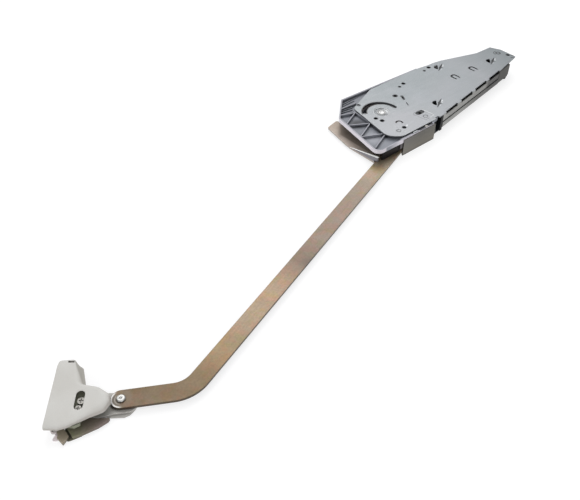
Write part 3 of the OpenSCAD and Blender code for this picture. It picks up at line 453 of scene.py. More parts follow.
def arm_shade(t, col):
    # passivation tone drifts along the bar: grey-pink near the unit, straw in the middle, olive brown at the bend
    d = t.along((0, 0), 199)
    f = t.maprange(d, 0.10, 0.56, 0.0, 1.0)
    stops = [(0.00, srgb(164, 152, 129)), (0.07, srgb(147, 134, 120)), (0.20, srgb(133, 118, 107)), (0.34, srgb(130, 115, 105)),
             (0.39, srgb(116, 101, 92)), (0.44, srgb(103, 90, 79)), (0.50, srgb(147, 126, 104)), (0.58, srgb(164, 141, 117)),
             (0.68, srgb(148, 130, 106)), (0.76, srgb(150, 127, 88)), (0.84, srgb(115, 93, 58)), (0.94, srgb(96, 76, 46))]
    tone = t.ramp(f, stops)
    tone = t.mix(t.maprange(t.noise(34.0, 4, 0.6, dist=0.8), 0.40, 0.64, 0.0, 0.30), tone, srgb(118, 103, 84))
    tone = t.mix(t.maprange(t.noise(12.0, 3, 0.5), 0.45, 0.66, 0.0, 0.22), tone, srgb(178, 157, 138))
    # long rolling streaks with the bar
    lay = t.n("ShaderNodeCombineXYZ")
    t.link(t.math("MULTIPLY", d, 14.0), lay.inputs[0])
    t.link(t.math("MULTIPLY", t.along((0, 0), 289), 460.0), lay.inputs[1])
    run = t.noise(1.0, 3, 0.6, vec=lay.outputs[0])
    tone = t.mix(t.maprange(run, 0.38, 0.62, 0.0, 0.20), tone, srgb(104, 90, 75))
    # patchy passivation: pink and olive blotches and a coarse grain
    tone = t.mix(t.maprange(t.noise(88.0, 4, 0.65, dist=0.5), 0.45, 0.61, 0.0, 1.0, True), tone, (1.14, 0.93, 0.91, 1), "MULTIPLY")
    tone = t.mix(t.maprange(t.noise(72.0, 4, 0.65, vec=t.mapping(loc=(0.37, 0.11, 0.2)), dist=0.5), 0.47, 0.63, 0.0, 1.0, True), tone, (0.93, 1.0, 0.76, 1), "MULTIPLY")
    tone = t.mix(t.maprange(t.noise(420.0, 3, 0.7), 0.38, 0.64, 0.0, 1.0), tone, (0.80, 0.80, 0.80, 1), "MULTIPLY")
    # a dark smudge about half way, and a stained grey patch by the end rivet; on its left side, painted highlight arcs
    # and a painted shade arc round the arm's end
    smudge = t.maprange(t.dist2((-264, -148)), 0.002, 0.012, 0.6, 0.0, True)
    tone = t.mix(smudge, tone, srgb(78, 70, 64))
    r = t.dist2((-517.1, -173))
    left = t.maprange(t.along((-517.1, -173), 165), 0.001, 0.006, 0.0, 1.0, True)
    grey = t.math("MULTIPLY", t.maprange(r, 0.0080, 0.0125, 0.55, 0.0, True), t.math("ADD", t.math("MULTIPLY", left, 0.75), 0.25))
    tone = t.mix(grey, tone, srgb(150, 146, 140))
    tone = t.mix(t.math("MULTIPLY", t.math("MULTIPLY", t.band(r, 0.0066, 0.0078, 0.0003), left), 0.6), tone, srgb(84, 79, 73))
    tone = t.mix(t.math("MULTIPLY", t.math("MULTIPLY", t.band(r, 0.0056, 0.0062, 0.0002), left), 0.5), tone, srgb(214, 210, 204))
    tone = t.mix(t.math("MULTIPLY", t.math("MULTIPLY", t.band(r, 0.0084, 0.0097, 0.0003), left), 0.9), tone, srgb(250, 250, 250))
    return t.mix(0.9, col, tone)
# painted shade: the bar's upright faces (side) and its edges (edge colour) are darkened
M["arm"] = metal("arm", srgb(150, 134, 112), srgb(186, 170, 148), srgb(118, 102, 84), metallic=0.4, rough=(0.32, 0.44),
                 streak=(26, 26, 26), mottle=26.0, side=(0.42, 0.40, 0.37, 1), shade=arm_shade, wear=0.6, painted_shade=(0.010, 0.8))
def lever_shade(t, col):
    d = t.maprange(t.along((-60, -30), 40), 0.0, 0.05, 0.0, 0.5)
    col = t.mix(d, col, srgb(140, 124, 110))
    green = t.maprange(t.dist2((-70, 6)), 0.003, 0.014, 0.35, 0.0, True)
    return t.mix(green, col, srgb(168, 164, 140))
def lever_post(t, col):
    # painted reflection: the outer side of the upturned flange is given a cool grey
    up = t.facing_up()
    flank = t.math("MULTIPLY", t.maprange(up, 0.2, 0.6, 1.0, 0.0, True), t.maprange(t.sep()[2], Z(4.6), Z(6.5), 0.3, 1.0))
    col = t.mix(t.math("MULTIPLY", flank, 0.85), col, srgb(108, 109, 120))
    # painted light: the strip of its top that shows beyond the housing is lightened
    s = t.sep()
    lit = t.math("MULTIPLY", t.maprange(s[0], -0.0600, -0.0572, 1.0, 0.0, True), t.maprange(up, 0.6, 0.9, 0.0, 1.0))
    lit = t.math("MULTIPLY", lit, t.math("MULTIPLY", t.maprange(s[1], 0.008, 0.024, 1.0, 0.0, True), t.maprange(s[1], -0.052, -0.034, 0.0, 1.0, True)))
    return t.mix(t.math("MULTIPLY", lit, 0.85), col, srgb(238, 222, 210))
M["lever"] = metal("lever", srgb(176, 160, 146), srgb(196, 184, 172), srgb(246, 244, 240), metallic=0.35, rough=(0.28, 0.4),
                   streak=(26, 90, 26), shade=lever_shade, wear=0.8, painted_shade=(0.011, 0.95, 0.12, 0.62), post=lever_post)
# painted highlight: the flange's rolled lip is near white and glows faintly (emission) in place of a glint
M["flange_edge"] = metal("flange_edge", srgb(240, 240, 238), srgb(252, 252, 250), srgb(255, 255, 255), metallic=0.15, rough=(0.3, 0.42),
                         streak=(26, 90, 26), grit=0.04, painted_shade=None)
fe = M["flange_edge"].node_tree.nodes["Principled BSDF"]
M["flange_edge"].node_tree.links.new(fe.inputs["Base Color"].links[0].from_socket, fe.inputs["Emission Color"])
fe.inputs["Emission Strength"].default_value = 0.30
M["cam_steel"] = metal("cam_steel", srgb(92, 94, 98), srgb(122, 124, 128), srgb(166, 168, 172), metallic=0.7, streak=(60, 60, 60))
M["bronze"] = metal("bronze", srgb(168, 132, 78), srgb(196, 160, 100), srgb(222, 192, 134), metallic=0.85, streak=(60, 60, 200))
M["spring"] = metal("spring", srgb(78, 80, 84), srgb(106, 108, 112), srgb(150, 152, 156), metallic=0.8, rough=(0.26, 0.4), mottle=120.0)
M["lug"] = metal("lug", srgb(168, 166, 160), srgb(202, 200, 196), srgb(250, 250, 248), metallic=0.35, streak=(60, 160, 60),
                 side=(0.84, 0.83, 0.82, 1), wear=0.9, painted_shade=(0.007, 0.72, 0.1, 0.62))
def clip_shade(t, col):
    # the neck that hides behind the cap is plated bright, the diamond end is stained
    return t.mix(t.maprange(t.along((-517.1, -173), -40), -0.0530, -0.0515, 0.9, 0.0, True), col, srgb(250, 240, 242))
M["clip"] = metal("clip", srgb(160, 149, 130), srgb(180, 168, 149), srgb(204, 197, 186), metallic=0.35, streak=(160, 60, 60), side=(0.6, 0.6, 0.6, 1), shade=clip_shade, painted_shade=(0.003, 0.5))
def leaf_shade(t, col):
    # brown with an olive patch near the clip and a pinkish haze along the free edge
    c = t.dist2((-566, -163))
    olive = t.math("MULTIPLY", t.maprange(t.noise(60.0, 3, 0.5), 0.36, 0.58, 0.1, 0.8), t.maprange(t.dist2((-571.5, -172.4)), 0.006, 0.020, 1.0, 0.15, True))
    col = t.mix(olive, col, srgb(142, 146, 112))
    return t.mix(t.maprange(t.noise(90.0, 3, 0.5), 0.45, 0.62, 0.0, 0.4), col, srgb(148, 134, 132))
M["brown"] = metal("brown", srgb(112, 101, 92), srgb(140, 128, 118), srgb(184, 176, 168), metallic=0.3, rough=(0.4, 0.55), streak=(60, 160, 60),
                   side=(0.75, 0.72, 0.70, 1), shade=leaf_shade, painted_shade=(0.006, 0.65))
M["olive_lug"] = metal("olive_lug", srgb(138, 140, 122), srgb(160, 162, 144), srgb(196, 198, 184), metallic=0.3, rough=(0.4, 0.5), painted_shade=(0.005, 0.6))
M["foot"] = metal("foot", srgb(244, 230, 232), srgb(253, 244, 246), srgb(255, 252, 253), metallic=0.0, rough=(0.4, 0.5), grit=0.03, painted_shade=(0.0015, 0.3))

def cap_shade(t, col):
    # cooler towards the near edge, warmer round the nose; painted shade on the sloping flanks and on the right flank of
    # the waist
    cool = t.maprange(t.along((-560, -200), 200), 0.0, 0.04, 0.0, 0.4)
    col = t.mix(cool, col, srgb(208, 213, 211))
    g = t.n("ShaderNodeNewGeometry")
    up = t.math("MAXIMUM", t.sep(g.outputs["Normal"])[2], 0.0)
    col = t.mix(t.maprange(up, 0.3, 0.95, 0.6, 0.0, True), col, srgb(172, 166, 158))
    w, v = t.along((-517.1, -173), -12.4), t.along((-517.1, -173), 50)
    flank = t.math("MULTIPLY", t.maprange(w, -0.0276, -0.0262, 0.0, 1.0, True), t.maprange(v, 0.0085, 0.0125, 0.0, 1.0, True))
    return t.mix(t.math("MULTIPLY", flank, 0.5), col, srgb(136, 133, 122))
M["cap"] = plastic("cap", srgb(209, 207, 202), srgb(217, 216, 212), srgb(228, 227, 224), rough=(0.42, 0.52), wear=0.15, bump=0.08,
                   shade=cap_shade, painted_shade=(0.003, 0.6))
M["cap"].name = "cap_plastic"
# near black: painted shade for the sheets under the housing's rim
M["skirt"] = plastic("skirt", srgb(22, 19, 19), srgb(38, 33, 32), srgb(60, 54, 52), rough=(0.55, 0.68), spec=0.2, painted_shade=(0.01, 0.9))

NODE_MAT = {
    "mount_plate": "zinc_plate", "inner_plate": "zinc_steel", "door_plate": "foot", "upper_leaf": "olive_lug",
    "plastic_housing": "housing", "side_cover": "cover", "spring_channel": "channel", "bottom_channel": "channel",
    "damper_clamp": "channel", "end_block": "end_block", "black_clip": "black", "stop_buffer": "black",
    "damper_cylinder": "black", "top_spacer": "black", "pivot_pin": "pivot_head", "thrust_washer": "washer",
    "arm_rivets": "lever", "roller_pin": "bright", "end_rivet": "bright", "end_washer": "washer", "tilt_screw": "screw",
    "lock_screw": "screw", "clip_pin": "bright", "damper_rod": "bright", "preload_screw": "bright", "guide_rods": "bright",
    "screw_sleeves": "sleeve", "arm_bar": "arm", "lever_plate": "lever", "cam": "cam_steel", "carriage": "cam_steel",
    "preload_plate": "channel", "roller": "cam_steel", "stop_pin": "cam_steel", "pivot_bush": "bronze",
    "spring_left": "spring", "spring_right": "spring", "hinge_lug": "lug", "bracket_body": "lug", "release_clip": "clip",
    "lower_leaf": "brown", "bracket_cap": "cap",
}
for name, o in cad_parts.items():
    mat = M[NODE_MAT[name]]
    o.data.materials.clear()
    o.data.materials.append(mat)

# ------------------------------------------------------------------ pieces
from mathutils.geometry import delaunay_2d_cdt
import numpy as np

def rounded(pts, n=6):
    """Outline with rounded corners; each point is (x, y, corner radius), in mm."""
    out, m = [], len(pts)
    for i in range(m):
        a, b, c = Vector(pts[i - 1][:2]), Vector(pts[i][:2]), Vector(pts[(i + 1) % m][:2])
        r = pts[i][2]
        if r <= 0:
            out.append((b.x, b.y))
            continue
        d1, d2 = (a - b).normalized(), (c - b).normalized()
        h = math.acos(max(-1.0, min(1.0, d1.dot(d2)))) / 2
        o = b + (d1 + d2).normalized() * r / math.sin(h)
        t1, t2 = b + d1 * r / math.tan(h), b + d2 * r / math.tan(h)
        a1, a2 = math.atan2(t1.y - o.y, t1.x - o.x), math.atan2(t2.y - o.y, t2.x - o.x)
        sw = (a2 - a1 + math.pi) % (2 * math.pi) - math.pi
        out += [(o.x + r * math.cos(a1 + sw * k / n), o.y + r * math.sin(a1 + sw * k / n)) for k in range(n + 1)]
    return out

def resample(poly, step):
    out = []
    for i, p in enumerate(poly):
        q = poly[(i + 1) % len(poly)]
        k = max(1, int(math.ceil(math.dist(p, q) / step)))
        out += [(p[0] + (q[0] - p[0]) * j / k, p[1] + (q[1] - p[1]) * j / k) for j in range(k)]
    return out

def circle(x, y, r, n=24):
    return [(x + r * math.cos(2 * math.pi * i / n), y + r * math.sin(2 * math.pi * i / n)) for i in range(n)]

def inside(P, poly):
    """Which rows of P (n x 2) lie inside the polygon."""
    res = np.zeros(len(P), bool)
    x, y = P[:, 0], P[:, 1]
    for i in range(len(poly)):
        (x0, y0), (x1, y1) = poly[i - 1], poly[i]
        if y0 == y1:
            continue
        hit = ((y0 > y) != (y1 > y)) & (x < (x1 - x0) * (y - y0) / (y1 - y0) + x0)
        res ^= hit
    return res

def seg_dist(P, segs):
    """Distance from each row of P to the nearest of the segments."""
    best = np.full(len(P), 1e9)
    for (ax, ay), (bx, by) in segs:
        dx, dy = bx - ax, by - ay
        L = dx * dx + dy * dy
        if L < 1e-12:
            continue
        t = np.clip(((P[:, 0] - ax) * dx + (P[:, 1] - ay) * dy) / L, 0, 1)
        best = np.minimum(best, np.hypot(P[:, 0] - ax - t * dx, P[:, 1] - ay - t * dy))
    return best

def plan_mesh(outline, holes=(), extra=()):
    """Triangulates an outline with holes; returns the points and the triangles."""
    pts = [Vector(p) for p in outline]
    edges = [(i, (i + 1) % len(outline)) for i in range(len(outline))]
    for h in holes:
        k = len(pts)
        pts += [Vector(p) for p in h]
        edges += [(k + i, k + (i + 1) % len(h)) for i in range(len(h))]
    pts += [Vector(p) for p in extra]
    v, e, f, ov, oe, of_ = delaunay_2d_cdt(pts, edges, [], 0, 1e-7)
    P = np.array([[p.x, p.y] for p in v])
    C = np.array([P[list(t)].mean(0) for t in f])
    keep = inside(C, outline)
    for h in holes:
        keep &= ~inside(C, h)
    return P, [tuple(t) for t, k in zip(f, keep) if k]

def obj_from(name, verts, faces, mat, to_frame=None, smooth=0.6):
    """Makes an object from mm vertices on the bench; to_frame maps them to the frame. Edges sharper than smooth stay crisp."""
    me = bpy.data.meshes.new(name)
    conv = to_frame or (lambda p: (p[0] * MM, p[1] * MM, Z(p[2])))
    me.from_pydata([conv(p) for p in verts], [], faces)
    bm = bmesh.new()
    bm.from_mesh(me)
    bmesh.ops.remove_doubles(bm, verts=bm.verts, dist=1e-7)
    bmesh.ops.recalc_face_normals(bm, faces=bm.faces)
    for f in bm.faces:
        f.smooth = True
    for e in bm.edges:
        if len(e.link_faces) != 2 or e.calc_face_angle(0.0) > smooth:
            e.smooth = False
    bm.to_mesh(me)
    bm.free()
    me.materials.append(mat)
    return link(bpy.data.objects.new(name, me))

BR_O, BR_A = (-517.0926, -172.9877), math.radians(-40)
def to_bracket(p):
    c, d = math.cos(BR_A), math.sin(BR_A)
    return ((BR_O[0] + p[0] * c - p[1] * d) * MM, (BR_O[1] + p[0] * d + p[1] * c) * MM, Z(p[2]))

def sheet_piece(name, outline, z0, z1, mat, body, holes=(), soft=0.15, to_frame=None):
    """A flat sheet or bar with eased edges: outline in mm, bottom and top heights on the bench."""
    P, tris = plan_mesh(outline, holes)
    n = len(P)
    verts, faces = [], []
    # eased edge: the top and bottom faces are drawn in by soft along the boundary normals
    bd = {}
    for t in tris:
        for a, b in ((t[0], t[1]), (t[1], t[2]), (t[2], t[0])):
            bd[(a, b)] = 1
    loop = [(a, b) for a, b in bd if (b, a) not in bd]
    nrm = {}
    for a, b in loop:
        d = P[b] - P[a]
        L = math.hypot(*d) or 1.0
        v = np.array([d[1], -d[0]]) / L
        for k in (a, b):
            nrm[k] = nrm.get(k, np.zeros(2)) + v
    inn = P.copy()
    for k, v in nrm.items():
        L = math.hypot(*v) or 1.0
        inn[k] = P[k] - v / L * soft
    for lvl, pp in ((z0, inn), (z0 + soft, P), (z1 - soft, P), (z1, inn)):
        verts += [(p[0], p[1], lvl) for p in pp]
    faces += [tuple(reversed(t)) for t in tris]
    faces += [tuple(i + 3 * n for i in t) for t in tris]
    for a, b in loop:
        for k in range(3):
            faces.append((a + k * n, b + k * n, b + (k + 1) * n, a + (k + 1) * n))
    used = sorted({i for f in faces for i in f})
    idx = {v: i for i, v in enumerate(used)}
    o = obj_from(name, [verts[i] for i in used], [tuple(idx[i] for i in f) for f in faces], mat, to_frame, smooth=0.9)
    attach(o, body)
    return o

# ---- moulded cap of the door bracket, with a soft crown and falling flanks
BD = 62.5
CAP_PTS = [(0.2 - BD, 32.5, 4), (-47.5, 33.8, 4), (-42.6, 29.6, 4), (-36, 9.6, 4), (-20, 6.4, 8), (-9, -0.5, 6), (-7.4, -8, 6), (-11.4, -17, 5),
           (-23.4, -23.4, 6), (-32, -28.8, 6), (-41.7, -34.3, 6), (-49, -36.6, 6), (0.2 - BD, -36.4, 1.5)]
def cap_piece():
    out = resample(rounded(CAP_PTS, 8), 1.0)
    slot = resample(rounded([(-30.3, 0.8, 3.9), (-30.3, -18.2, 3.9), (-38.5, -18.2, 3.9), (-38.5, 0.8, 3.9)], 10), 1.0)
    notch = resample([(-52.6, 29.9), (-46.9, 29.9), (-46.9, 31.9), (-52.6, 31.9)], 1.0)
    segs = [(out[i], out[(i + 1) % len(out)]) for i in range(len(out))]
    door = [q for q in segs if q[0][0] < 0.35 - BD and q[1][0] < 0.35 - BD]
    rest = [q for q in segs if not (q[0][0] < 0.35 - BD and q[1][0] < 0.35 - BD)]
    # interior points: rows close to the edge, then a grid
    extra = []
    for d in (0.18, 0.45, 0.85, 1.4, 2.1):
        ring = []
        for (ax, ay), (bx, by) in segs:
            L = math.hypot(bx - ax, by - ay)
            nx, ny = -(by - ay) / L, (bx - ax) / L
            for sgn in (1,):
                ring.append(((ax + bx) / 2 + nx * d * sgn, (ay + by) / 2 + ny * d * sgn))
                ring.append(((ax + bx) / 2 - nx * d * sgn, (ay + by) / 2 - ny * d * sgn))
        R = np.array(ring)
        ok = inside(R, out) & (seg_dist(R, segs) > d * 0.97)
        extra += [tuple(p) for p in R[ok]]
    gx, gy = np.meshgrid(np.arange(-62, -7, 1.0), np.arange(-36.5, 34, 1.0))
    G = np.stack([gx.ravel(), gy.ravel()], 1)
    G = G[inside(G, out)]
    G = G[seg_dist(G, segs) > 2.6]
    extra += [tuple(p) for p in G]
    E = np.array(extra)
    hs = [(slot[i], slot[(i + 1) % len(slot)]) for i in range(len(slot))] + [(notch[i], notch[(i + 1) % len(notch)]) for i in range(len(notch))]
    E = E[~inside(E, slot) & ~inside(E, notch) & (seg_dist(E, hs) > 0.35)]
    P, tris = plan_mesh(out, [slot, notch], [tuple(p) for p in E])
    # profile of the crown
    sm = lambda x, a, b: np.clip((x - a) / (b - a), 0, 1) ** 2 * (3 - 2 * np.clip((x - a) / (b - a), 0, 1))
    u, v = P[:, 0], P[:, 1]
    waist = sm(u, -47, -43) * sm(v, 2, 10)
    nose = sm(u, -26, -16) * (1 - waist)
    far = sm(v, 27, 31) * (1 - sm(u, -46, -43))
    Rh = 3.6 + waist * 1.2 + nose * 2.2 - far * 2.2
    Rv = 2.5 + waist * 3.6 + nose * 1.6 - far * 1.5
    top = 24 + 0.1228 * (v - 33)
    Rv = np.minimum(Rv, np.maximum(top - 12.6 - 0.6, 0.4))
    d = seg_dist(P, rest)
    dd = seg_dist(P, door)
    q = np.clip((Rh - d) / Rh, 0, 1)
    drop = Rv * (1 - np.sqrt(np.clip(1 - q ** 2, 0, 1)))
    qd = np.clip((0.9 - dd) / 0.9, 0, 1)
    drop += 0.6 * (1 - np.sqrt(np.clip(1 - qd ** 2, 0, 1)))
    # the crown swells a little between its edges, and eases into the slot
    z = top - drop - 0.02
    ds = seg_dist(P, [(slot[i], slot[(i + 1) % len(slot)]) for i in range(len(slot))])
    z -= 0.45 * (1 - sm(ds, 0.0, 1.1))
    verts = [(p[0], p[1], h) for p, h in zip(P, z)]
    n = len(verts)
    bdm = {}
    for t in tris:
        for a, b in ((t[0], t[1]), (t[1], t[2]), (t[2], t[0])):
            bdm[(a, b)] = 1
    loop = [(a, b) for a, b in bdm if (b, a) not in bdm]
    D = seg_dist(P, segs)
    faces = list(tris)
    base = {}
    mids = {}
    # outward directions of the rim, for flanks that spread towards the base
    nrm = {}
    for a, b in loop:
        e = P[b] - P[a]
        L = math.hypot(*e) or 1.0
        for k in (a, b):
            nrm[k] = nrm.get(k, np.zeros(2)) + np.array([e[1], -e[0]]) / L
    spread = waist * 2.6 + nose * 0.5
    for a, b in loop:
        if D[a] > 0.05 or D[b] > 0.05:
            continue                      # slot and notch edges
        if P[a][0] < 0.3 - BD and P[b][0] < 0.3 - BD:
            continue                      # open towards the door
        for k in (a, b):
            if k not in base:
                n2 = nrm[k] / (math.hypot(*nrm[k]) or 1.0) * spread[k]
                base[k] = len(verts)
                verts.append((P[k][0] + n2[0], P[k][1] + n2[1], 12.62))
                mids[k] = len(verts)
                verts.append((P[k][0] + n2[0] * 0.45, P[k][1] + n2[1] * 0.45, 12.62 + (z[k] - 12.62) * 0.55))
        faces.append((b, a, mids[a], mids[b]))
        faces.append((mids[b], mids[a], base[a], base[b]))
    o = obj_from("cap_shell", verts, faces, M["cap"], to_bracket)
    me = o.data
    # outward normals: the crown must look up
    if sum(p.normal.z * p.area for p in me.polygons) < 0:
        me.flip_normals()
    sol = o.modifiers.new("wall", "SOLIDIFY")
    sol.thickness = 1.75 * MM
    sol.offset = -1.0
    sol.use_even_offset = False
    bpy.context.view_layer.update()
    dg = bpy.context.evaluated_depsgraph_get()
    new = bpy.data.meshes.new_from_object(o.evaluated_get(dg))
    o.modifiers.clear()
    o.data = new
    bm = bmesh.new()
    bm.from_mesh(new)
    for f in bm.faces:
        f.smooth = True
    for e in bm.edges:
        e.smooth = not (len(e.link_faces) != 2 or e.calc_face_angle(0.0) > 0.75)
    bm.to_mesh(new)
    bm.free()
    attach(o, "bracket")
    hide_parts("bracket_cap")
    return o
cap = cap_piece()

# ---- compression springs: round wire, closed end coils; each spring is drawn in two halves
def spring_half(name, side, x_from, x_to, node):
    cy, cz, R, wr, N = 12.8 * side, 13.5, 7.4, 1.28, 17.0
    xa, xb = 72.1 + wr, 231.9 - wr
    steps = 17 * 28
    w = []
    for i in range(steps + 1):
        t = i / steps * N
        e = min(t, N - t)
        k = min(1.0, max(0.0, (e - 0.75) / 1.0))
        w.append(2.62 + (1 - (1 - k) ** 2) * 7.9)      # pitch at this place
    cum = [0.0]
    for i in range(steps):
        cum.append(cum[-1] + (w[i] + w[i + 1]) / 2 * N / steps)
    sc = (xb - xa) / cum[-1]
    pts = []
    for i in range(steps + 1):
        a = 2 * math.pi * i / 28.0 * side + 0.4
        pts.append(Vector((xa + cum[i] * sc, cy + R * math.cos(a), cz + R * math.sin(a))))
    cut = min(range(len(pts)), key=lambda i: abs(pts[i].x - 152))
    pts = pts[:cut + 1] if x_from < 100 else pts[cut:]
    verts, faces, seg = [], [], 12
    for i, p in enumerate(pts):
        tan = (pts[min(i + 1, len(pts) - 1)] - pts[max(i - 1, 0)]).normalized()
        rad = Vector((0, p.y - cy, p.z - cz)).normalized()
        bi = tan.cross(rad).normalized()
        rad = bi.cross(tan).normalized()
        for k in range(seg):
            an = 2 * math.pi * k / seg
            verts.append(tuple(p + rad * wr * math.cos(an) + bi * wr * math.sin(an)))
    for i in range(len(pts) - 1):
        for k in range(seg):
            a, b = i * seg + k, i * seg + (k + 1) % seg
            faces.append((a, b, b + seg, a + seg))
    faces.append(tuple(range(seg - 1, -1, -1)))
    faces.append(tuple((len(pts) - 1) * seg + k for k in range(seg)))
    o = obj_from(name, verts, faces, M["spring"], smooth=1.0)
    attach(o, "unit")
    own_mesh(o)
    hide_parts(node)
    return o
for nm, sd in (("left", 1), ("right", -1)):
    spring_half("spring_%s_front" % nm, sd, 72, 152, "spring_" + nm)
    spring_half("spring_%s_rear" % nm, sd, 152, 232, "spring_" + nm)

# ---- plastic skirt under the housing's rim, near black as painted shade; it also shades the moving lever
def wall_outline(path, w):
    """Closed outline of a wall of width w to the right of an open path, with rounded turns."""
    m = len(path)
    off = []
    for i in range(m):
        a = Vector(path[max(i - 1, 0)])
        b = Vector(path[i])
        c = Vector(path[min(i + 1, m - 1)])
        d1 = (b - a).normalized() if i else (c - b).normalized()
        d2 = (c - b).normalized() if i < m - 1 else d1
        n1, n2 = Vector((-d1.y, d1.x)), Vector((-d2.y, d2.x))
        nb = (n1 + n2).normalized()
        off.append(tuple(b + nb * w / max(0.3, nb.dot(n1))))
    return [tuple(p) for p in path] + off[::-1]
skirt_path = []
for p in rounded([(-12, 58, 0), (-16.5, 58.3, 2), (-51.2, 25.4, 4), (-66.8, -57.4, 5), (-60.5, -60.4, 2), (-25.6, -60.7, 0)], 5):
    skirt_path.append(p)
sheet_piece("housing_skirt", wall_outline(skirt_path, 1.3), 15.3, 20.25, M["skirt"], "unit", soft=0.2)

# lower apron over the bar's root, near black as painted shade, and the rolled lip on the lever's upturned flange, in
# painted highlight
sheet_piece("housing_apron", rounded([(-62.4, -62.0, 0.6), (-61.0, -63.7, 0.8), (-29.2, -63.7, 0.3), (-29.2, -62.3, 0.3), (-60.6, -62.3, 0.4)], 4),
            8.5, 20.25, M["skirt"], "unit", soft=0.2)
def flange_lip():
    verts, faces, n = [], [], 24
    for i in range(n + 1):
        f = i / n
        y = -11.0 - 51.3 * f
        xo = -70.3 + 1.5 * (-10 - y) / 52.4 - 0.12
        w = (0.7 + 2.3 * f) * (1.0 if i < n else 0.75)
        zb = 5.0 + (-10 - y) * 9.4 / 52.4
        h = min(0.45, 0.2 + 2 * f)
        for x, z in ((xo, zb), (xo, zb + h * 0.6), (xo + w * 0.12, zb + h * 0.92), (xo + w * 0.5, zb + h), (xo + w * 0.88, zb + h * 0.92), (xo + w, zb + h * 0.6), (xo + w, zb)):
            verts.append((x, y, z))
    for i in range(n):
        for k in range(7):
            a, b = i * 7 + k, i * 7 + (k + 1) % 7
            faces.append((a, b, b + 7, a + 7))
    faces += [tuple(range(6, -1, -1)), tuple(n * 7 + k for k in range(7))]
    o = obj_from("flange_lip", verts, faces, M["flange_edge"], smooth=0.9)
    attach(o, "arm")
flange_lip()

# ---- ratchet strips seen through the plate's arc slot, clear of the stop pin's path
def arc(r0, r1, a0, a1, n=30):
    p = lambda r, a: (r * math.cos(math.radians(a)), r * math.sin(math.radians(a)))
    return [p(r1, a0 + (a1 - a0) * i / n) for i in range(n + 1)] + [p(r0, a1 - (a1 - a0) * i / n) for i in range(n + 1)]
sheet_piece("slot_ledge", arc(21.4, 28.4, -11, 26), 23.5, 24.3, M["ledge"], "unit", soft=0.2)
sheet_piece("slot_teeth", arc(26.0, 28.5, 27, 120), 23.5, 24.1, M["ledge"], "unit", soft=0.2)

# ---- black sheet under the plate's left edge, as painted shade so the holes there look dark; open behind the screw hole
wy = lambda x: 44.1 - 0.1207 * (x - 69.3)
sheet_piece("rear_shade_sheet", [(136, wy(136) + 0.5), (236, wy(236) + 0.5), (236, 25.3), (177, 44.6), (162, 46.9), (152, 47.3), (136, 49.5)],
            20.6, 21.8, M["black"], "unit", holes=[circle(147.7, 43.9, 3.4)], soft=0.2)

# ---- fine ribs in the back corner of the tray
def rib(name, a, b, w, z0, z1):
    a, b = Vector(a), Vector(b)
    d = (b - a).normalized()
    n = Vector((-d.y, d.x)) * w / 2
    sheet_piece(name, [tuple(a - n), tuple(b - n), tuple(b + n), tuple(a + n)], z0, z1, M["housing"], "unit", soft=0.12)
rib("tray_rib_1", (-37.6, 43.6), (-17.5, 40.6), 0.9, 21.81, 23.4)
rib("tray_rib_2", (-41.0, 40.2), (-21.5, 36.2), 0.9, 21.81, 23.4)
rib("tray_rib_3", (-44.6, 36.6), (-25.6, 31.0), 0.8, 21.81, 23.2)
rib("tray_rib_4", (-23.0, 56.0), (9.0, 57.2), 0.8, 21.81, 23.0)
rib("tray_rib_5", (-27.0, 52.2), (-2.0, 52.6), 0.8, 21.81, 23.0)

# ---- small bent tabs in the gap between the plate and the side cover
sheet_piece("gap_tab_1", rounded([(-3.6, -64.5, 0.6), (6.4, -64.5, 0.6), (5.4, -61.0, 0.6), (-2.6, -61.0, 0.6)], 3), 25.92, 26.4, M["zinc_steel"], "unit", soft=0.18)
sheet_piece("gap_tab_2", rounded([(20.8, -64.9, 0.6), (25.6, -64.9, 0.6), (26.0, -61.0, 0.6), (21.4, -61.0, 0.6)], 3), 25.92, 26.5, M["lug"], "unit", soft=0.25)
sheet_piece("gap_ledge", [(-27.0, -62.9), (-4.6, -62.9), (-4.6, -61.4), (-27.0, -61.4)], 24.9, 25.5, M["housing"], "unit", soft=0.15)

# ---- bracket core under the cap, with a pocket, and recesses for the door screws; its near corner stays behind the cap's edge
core = [(-59.7, -27.0, 1.5), (-47.8, -27.0, 1.0), (-15.5, 1.9, 2), (-21, 4.4, 2), (-35, 8.2, 3), (-42, 26, 4), (-46, 29, 3), (-59.7, 29, 0)]
bites = [(-59.7, 28.2, 0), (-47, 28.2, 1), (-47, 19.8, 1), (-59.7, 19.8, 0), (-59.7, -15.8, 0), (-47, -15.8, 1), (-47, -24.2, 1), (-59.7, -24.2, 0)]
sheet_piece("bracket_core_low", rounded(core, 5), 4.25, 5.42, M["lug"], "bracket", to_frame=to_bracket)
sheet_piece("bracket_core", rounded(core + bites, 5), 5.4, 9.36, M["lug"], "bracket", to_frame=to_bracket,
            holes=[circle(-33.8, -7.2, 3.1), rounded([(-55, -10, 2), (-44, -10, 2), (-44, 14, 2), (-55, 14, 2)], 5)])
for nm in ("bracket_core_low", "bracket_core"):
    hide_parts("bracket_body")

# ---- rolled lower lip of the hinge lug
sheet_piece("lug_lip", rounded([(-12, -15.4, 0.5), (-7.5, -16.3, 1), (4.5, -15.8, 5), (9.7, -13.0, 4), (13.7, -7.2, 4), (14.3, -1, 3), (10, 4, 2),
            (4.4, -7.8, 1), (-12, -11, 0.5)], 5), 0.3, 2.1, M["lug"], "bracket", to_frame=to_bracket, soft=0.45)

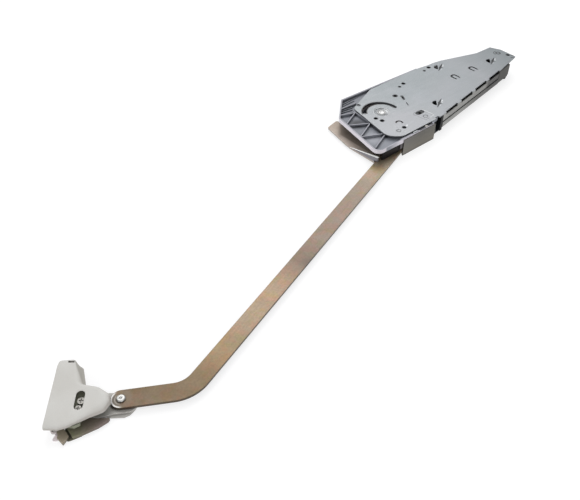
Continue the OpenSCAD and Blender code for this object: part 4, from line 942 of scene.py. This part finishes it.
# ------------------------------------------------------------------ floor, light, camera
def floor_piece():
    me = bpy.data.meshes.new("studio_floor")
    bm = bmesh.new()
    z = cad_lo.z - 0.00005
    r = 6.0
    vs = [bm.verts.new((x * r, y * r, z)) for x, y in ((-1, -1), (1, -1), (1, 1), (-1, 1))]
    bm.faces.new(vs)
    bm.to_mesh(me); bm.free()
    o = link(bpy.data.objects.new("studio_floor", me))
    t = NT("studio_paper")
    col = t.ramp(t.noise(3.0, 3, 0.5), [(0.3, (0.335, 0.335, 0.337, 1)), (0.7, (0.35, 0.35, 0.35, 1))])
    t.link(col, t.bsdf.inputs["Base Color"])
    t.link(col, t.bsdf.inputs["Emission Color"])
    t.bsdf.inputs["Emission Strength"].default_value = 2.15
    t.set(Roughness=0.9)
    t.bsdf.inputs["Specular IOR Level"].default_value = 0.1
    me.materials.append(t.mat)
    return o
floor_piece()

world = bpy.data.worlds.new("studio_world")
scene.world = world
world.use_nodes = True
world.node_tree.nodes["Background"].inputs["Color"].default_value = (1.0, 1.0, 1.0, 1)
world.node_tree.nodes["Background"].inputs["Strength"].default_value = 0.50

def area(name, loc, target, size, power, color=(1, 1, 1)):
    l = bpy.data.lights.new(name, "AREA")
    l.shape = "RECTANGLE"
    l.size, l.size_y = size
    l.energy = power
    l.color = color
    o = link(bpy.data.objects.new(name, l))
    o.location = loc
    o.rotation_mode = "QUATERNION"
    o.rotation_quaternion = (Vector(target) - Vector(loc)).to_track_quat("-Z", "Y")
    return o
mid = (-0.15, 0.0, 0.0)
area("key_top", (0.7, 1.0, 1.7), mid, (1.8, 1.8), 25.0)
area("fill_left", (-1.7, 0.2, 0.8), mid, (1.2, 1.2), 5.0)
area("front_soft", (-0.7, -1.5, 1.3), mid, (1.4, 1.0), 5.0)

cam_data = bpy.data.cameras.new("camera")
cam = link(bpy.data.objects.new("camera", cam_data))
cam.location = (-0.6356, -0.5578, 0.5150)
cam_dir = Vector((0.4701, 0.5603, -0.6820)).normalized()
cam.rotation_mode = "QUATERNION"
cam.rotation_quaternion = cam_dir.to_track_quat("-Z", "Y")
cam_data.sensor_width = 36.0
cam_data.lens = 42.60
cam_data.clip_start, cam_data.clip_end = 0.01, 50.0
scene.camera = cam
scene.view_settings.view_transform = "Standard"
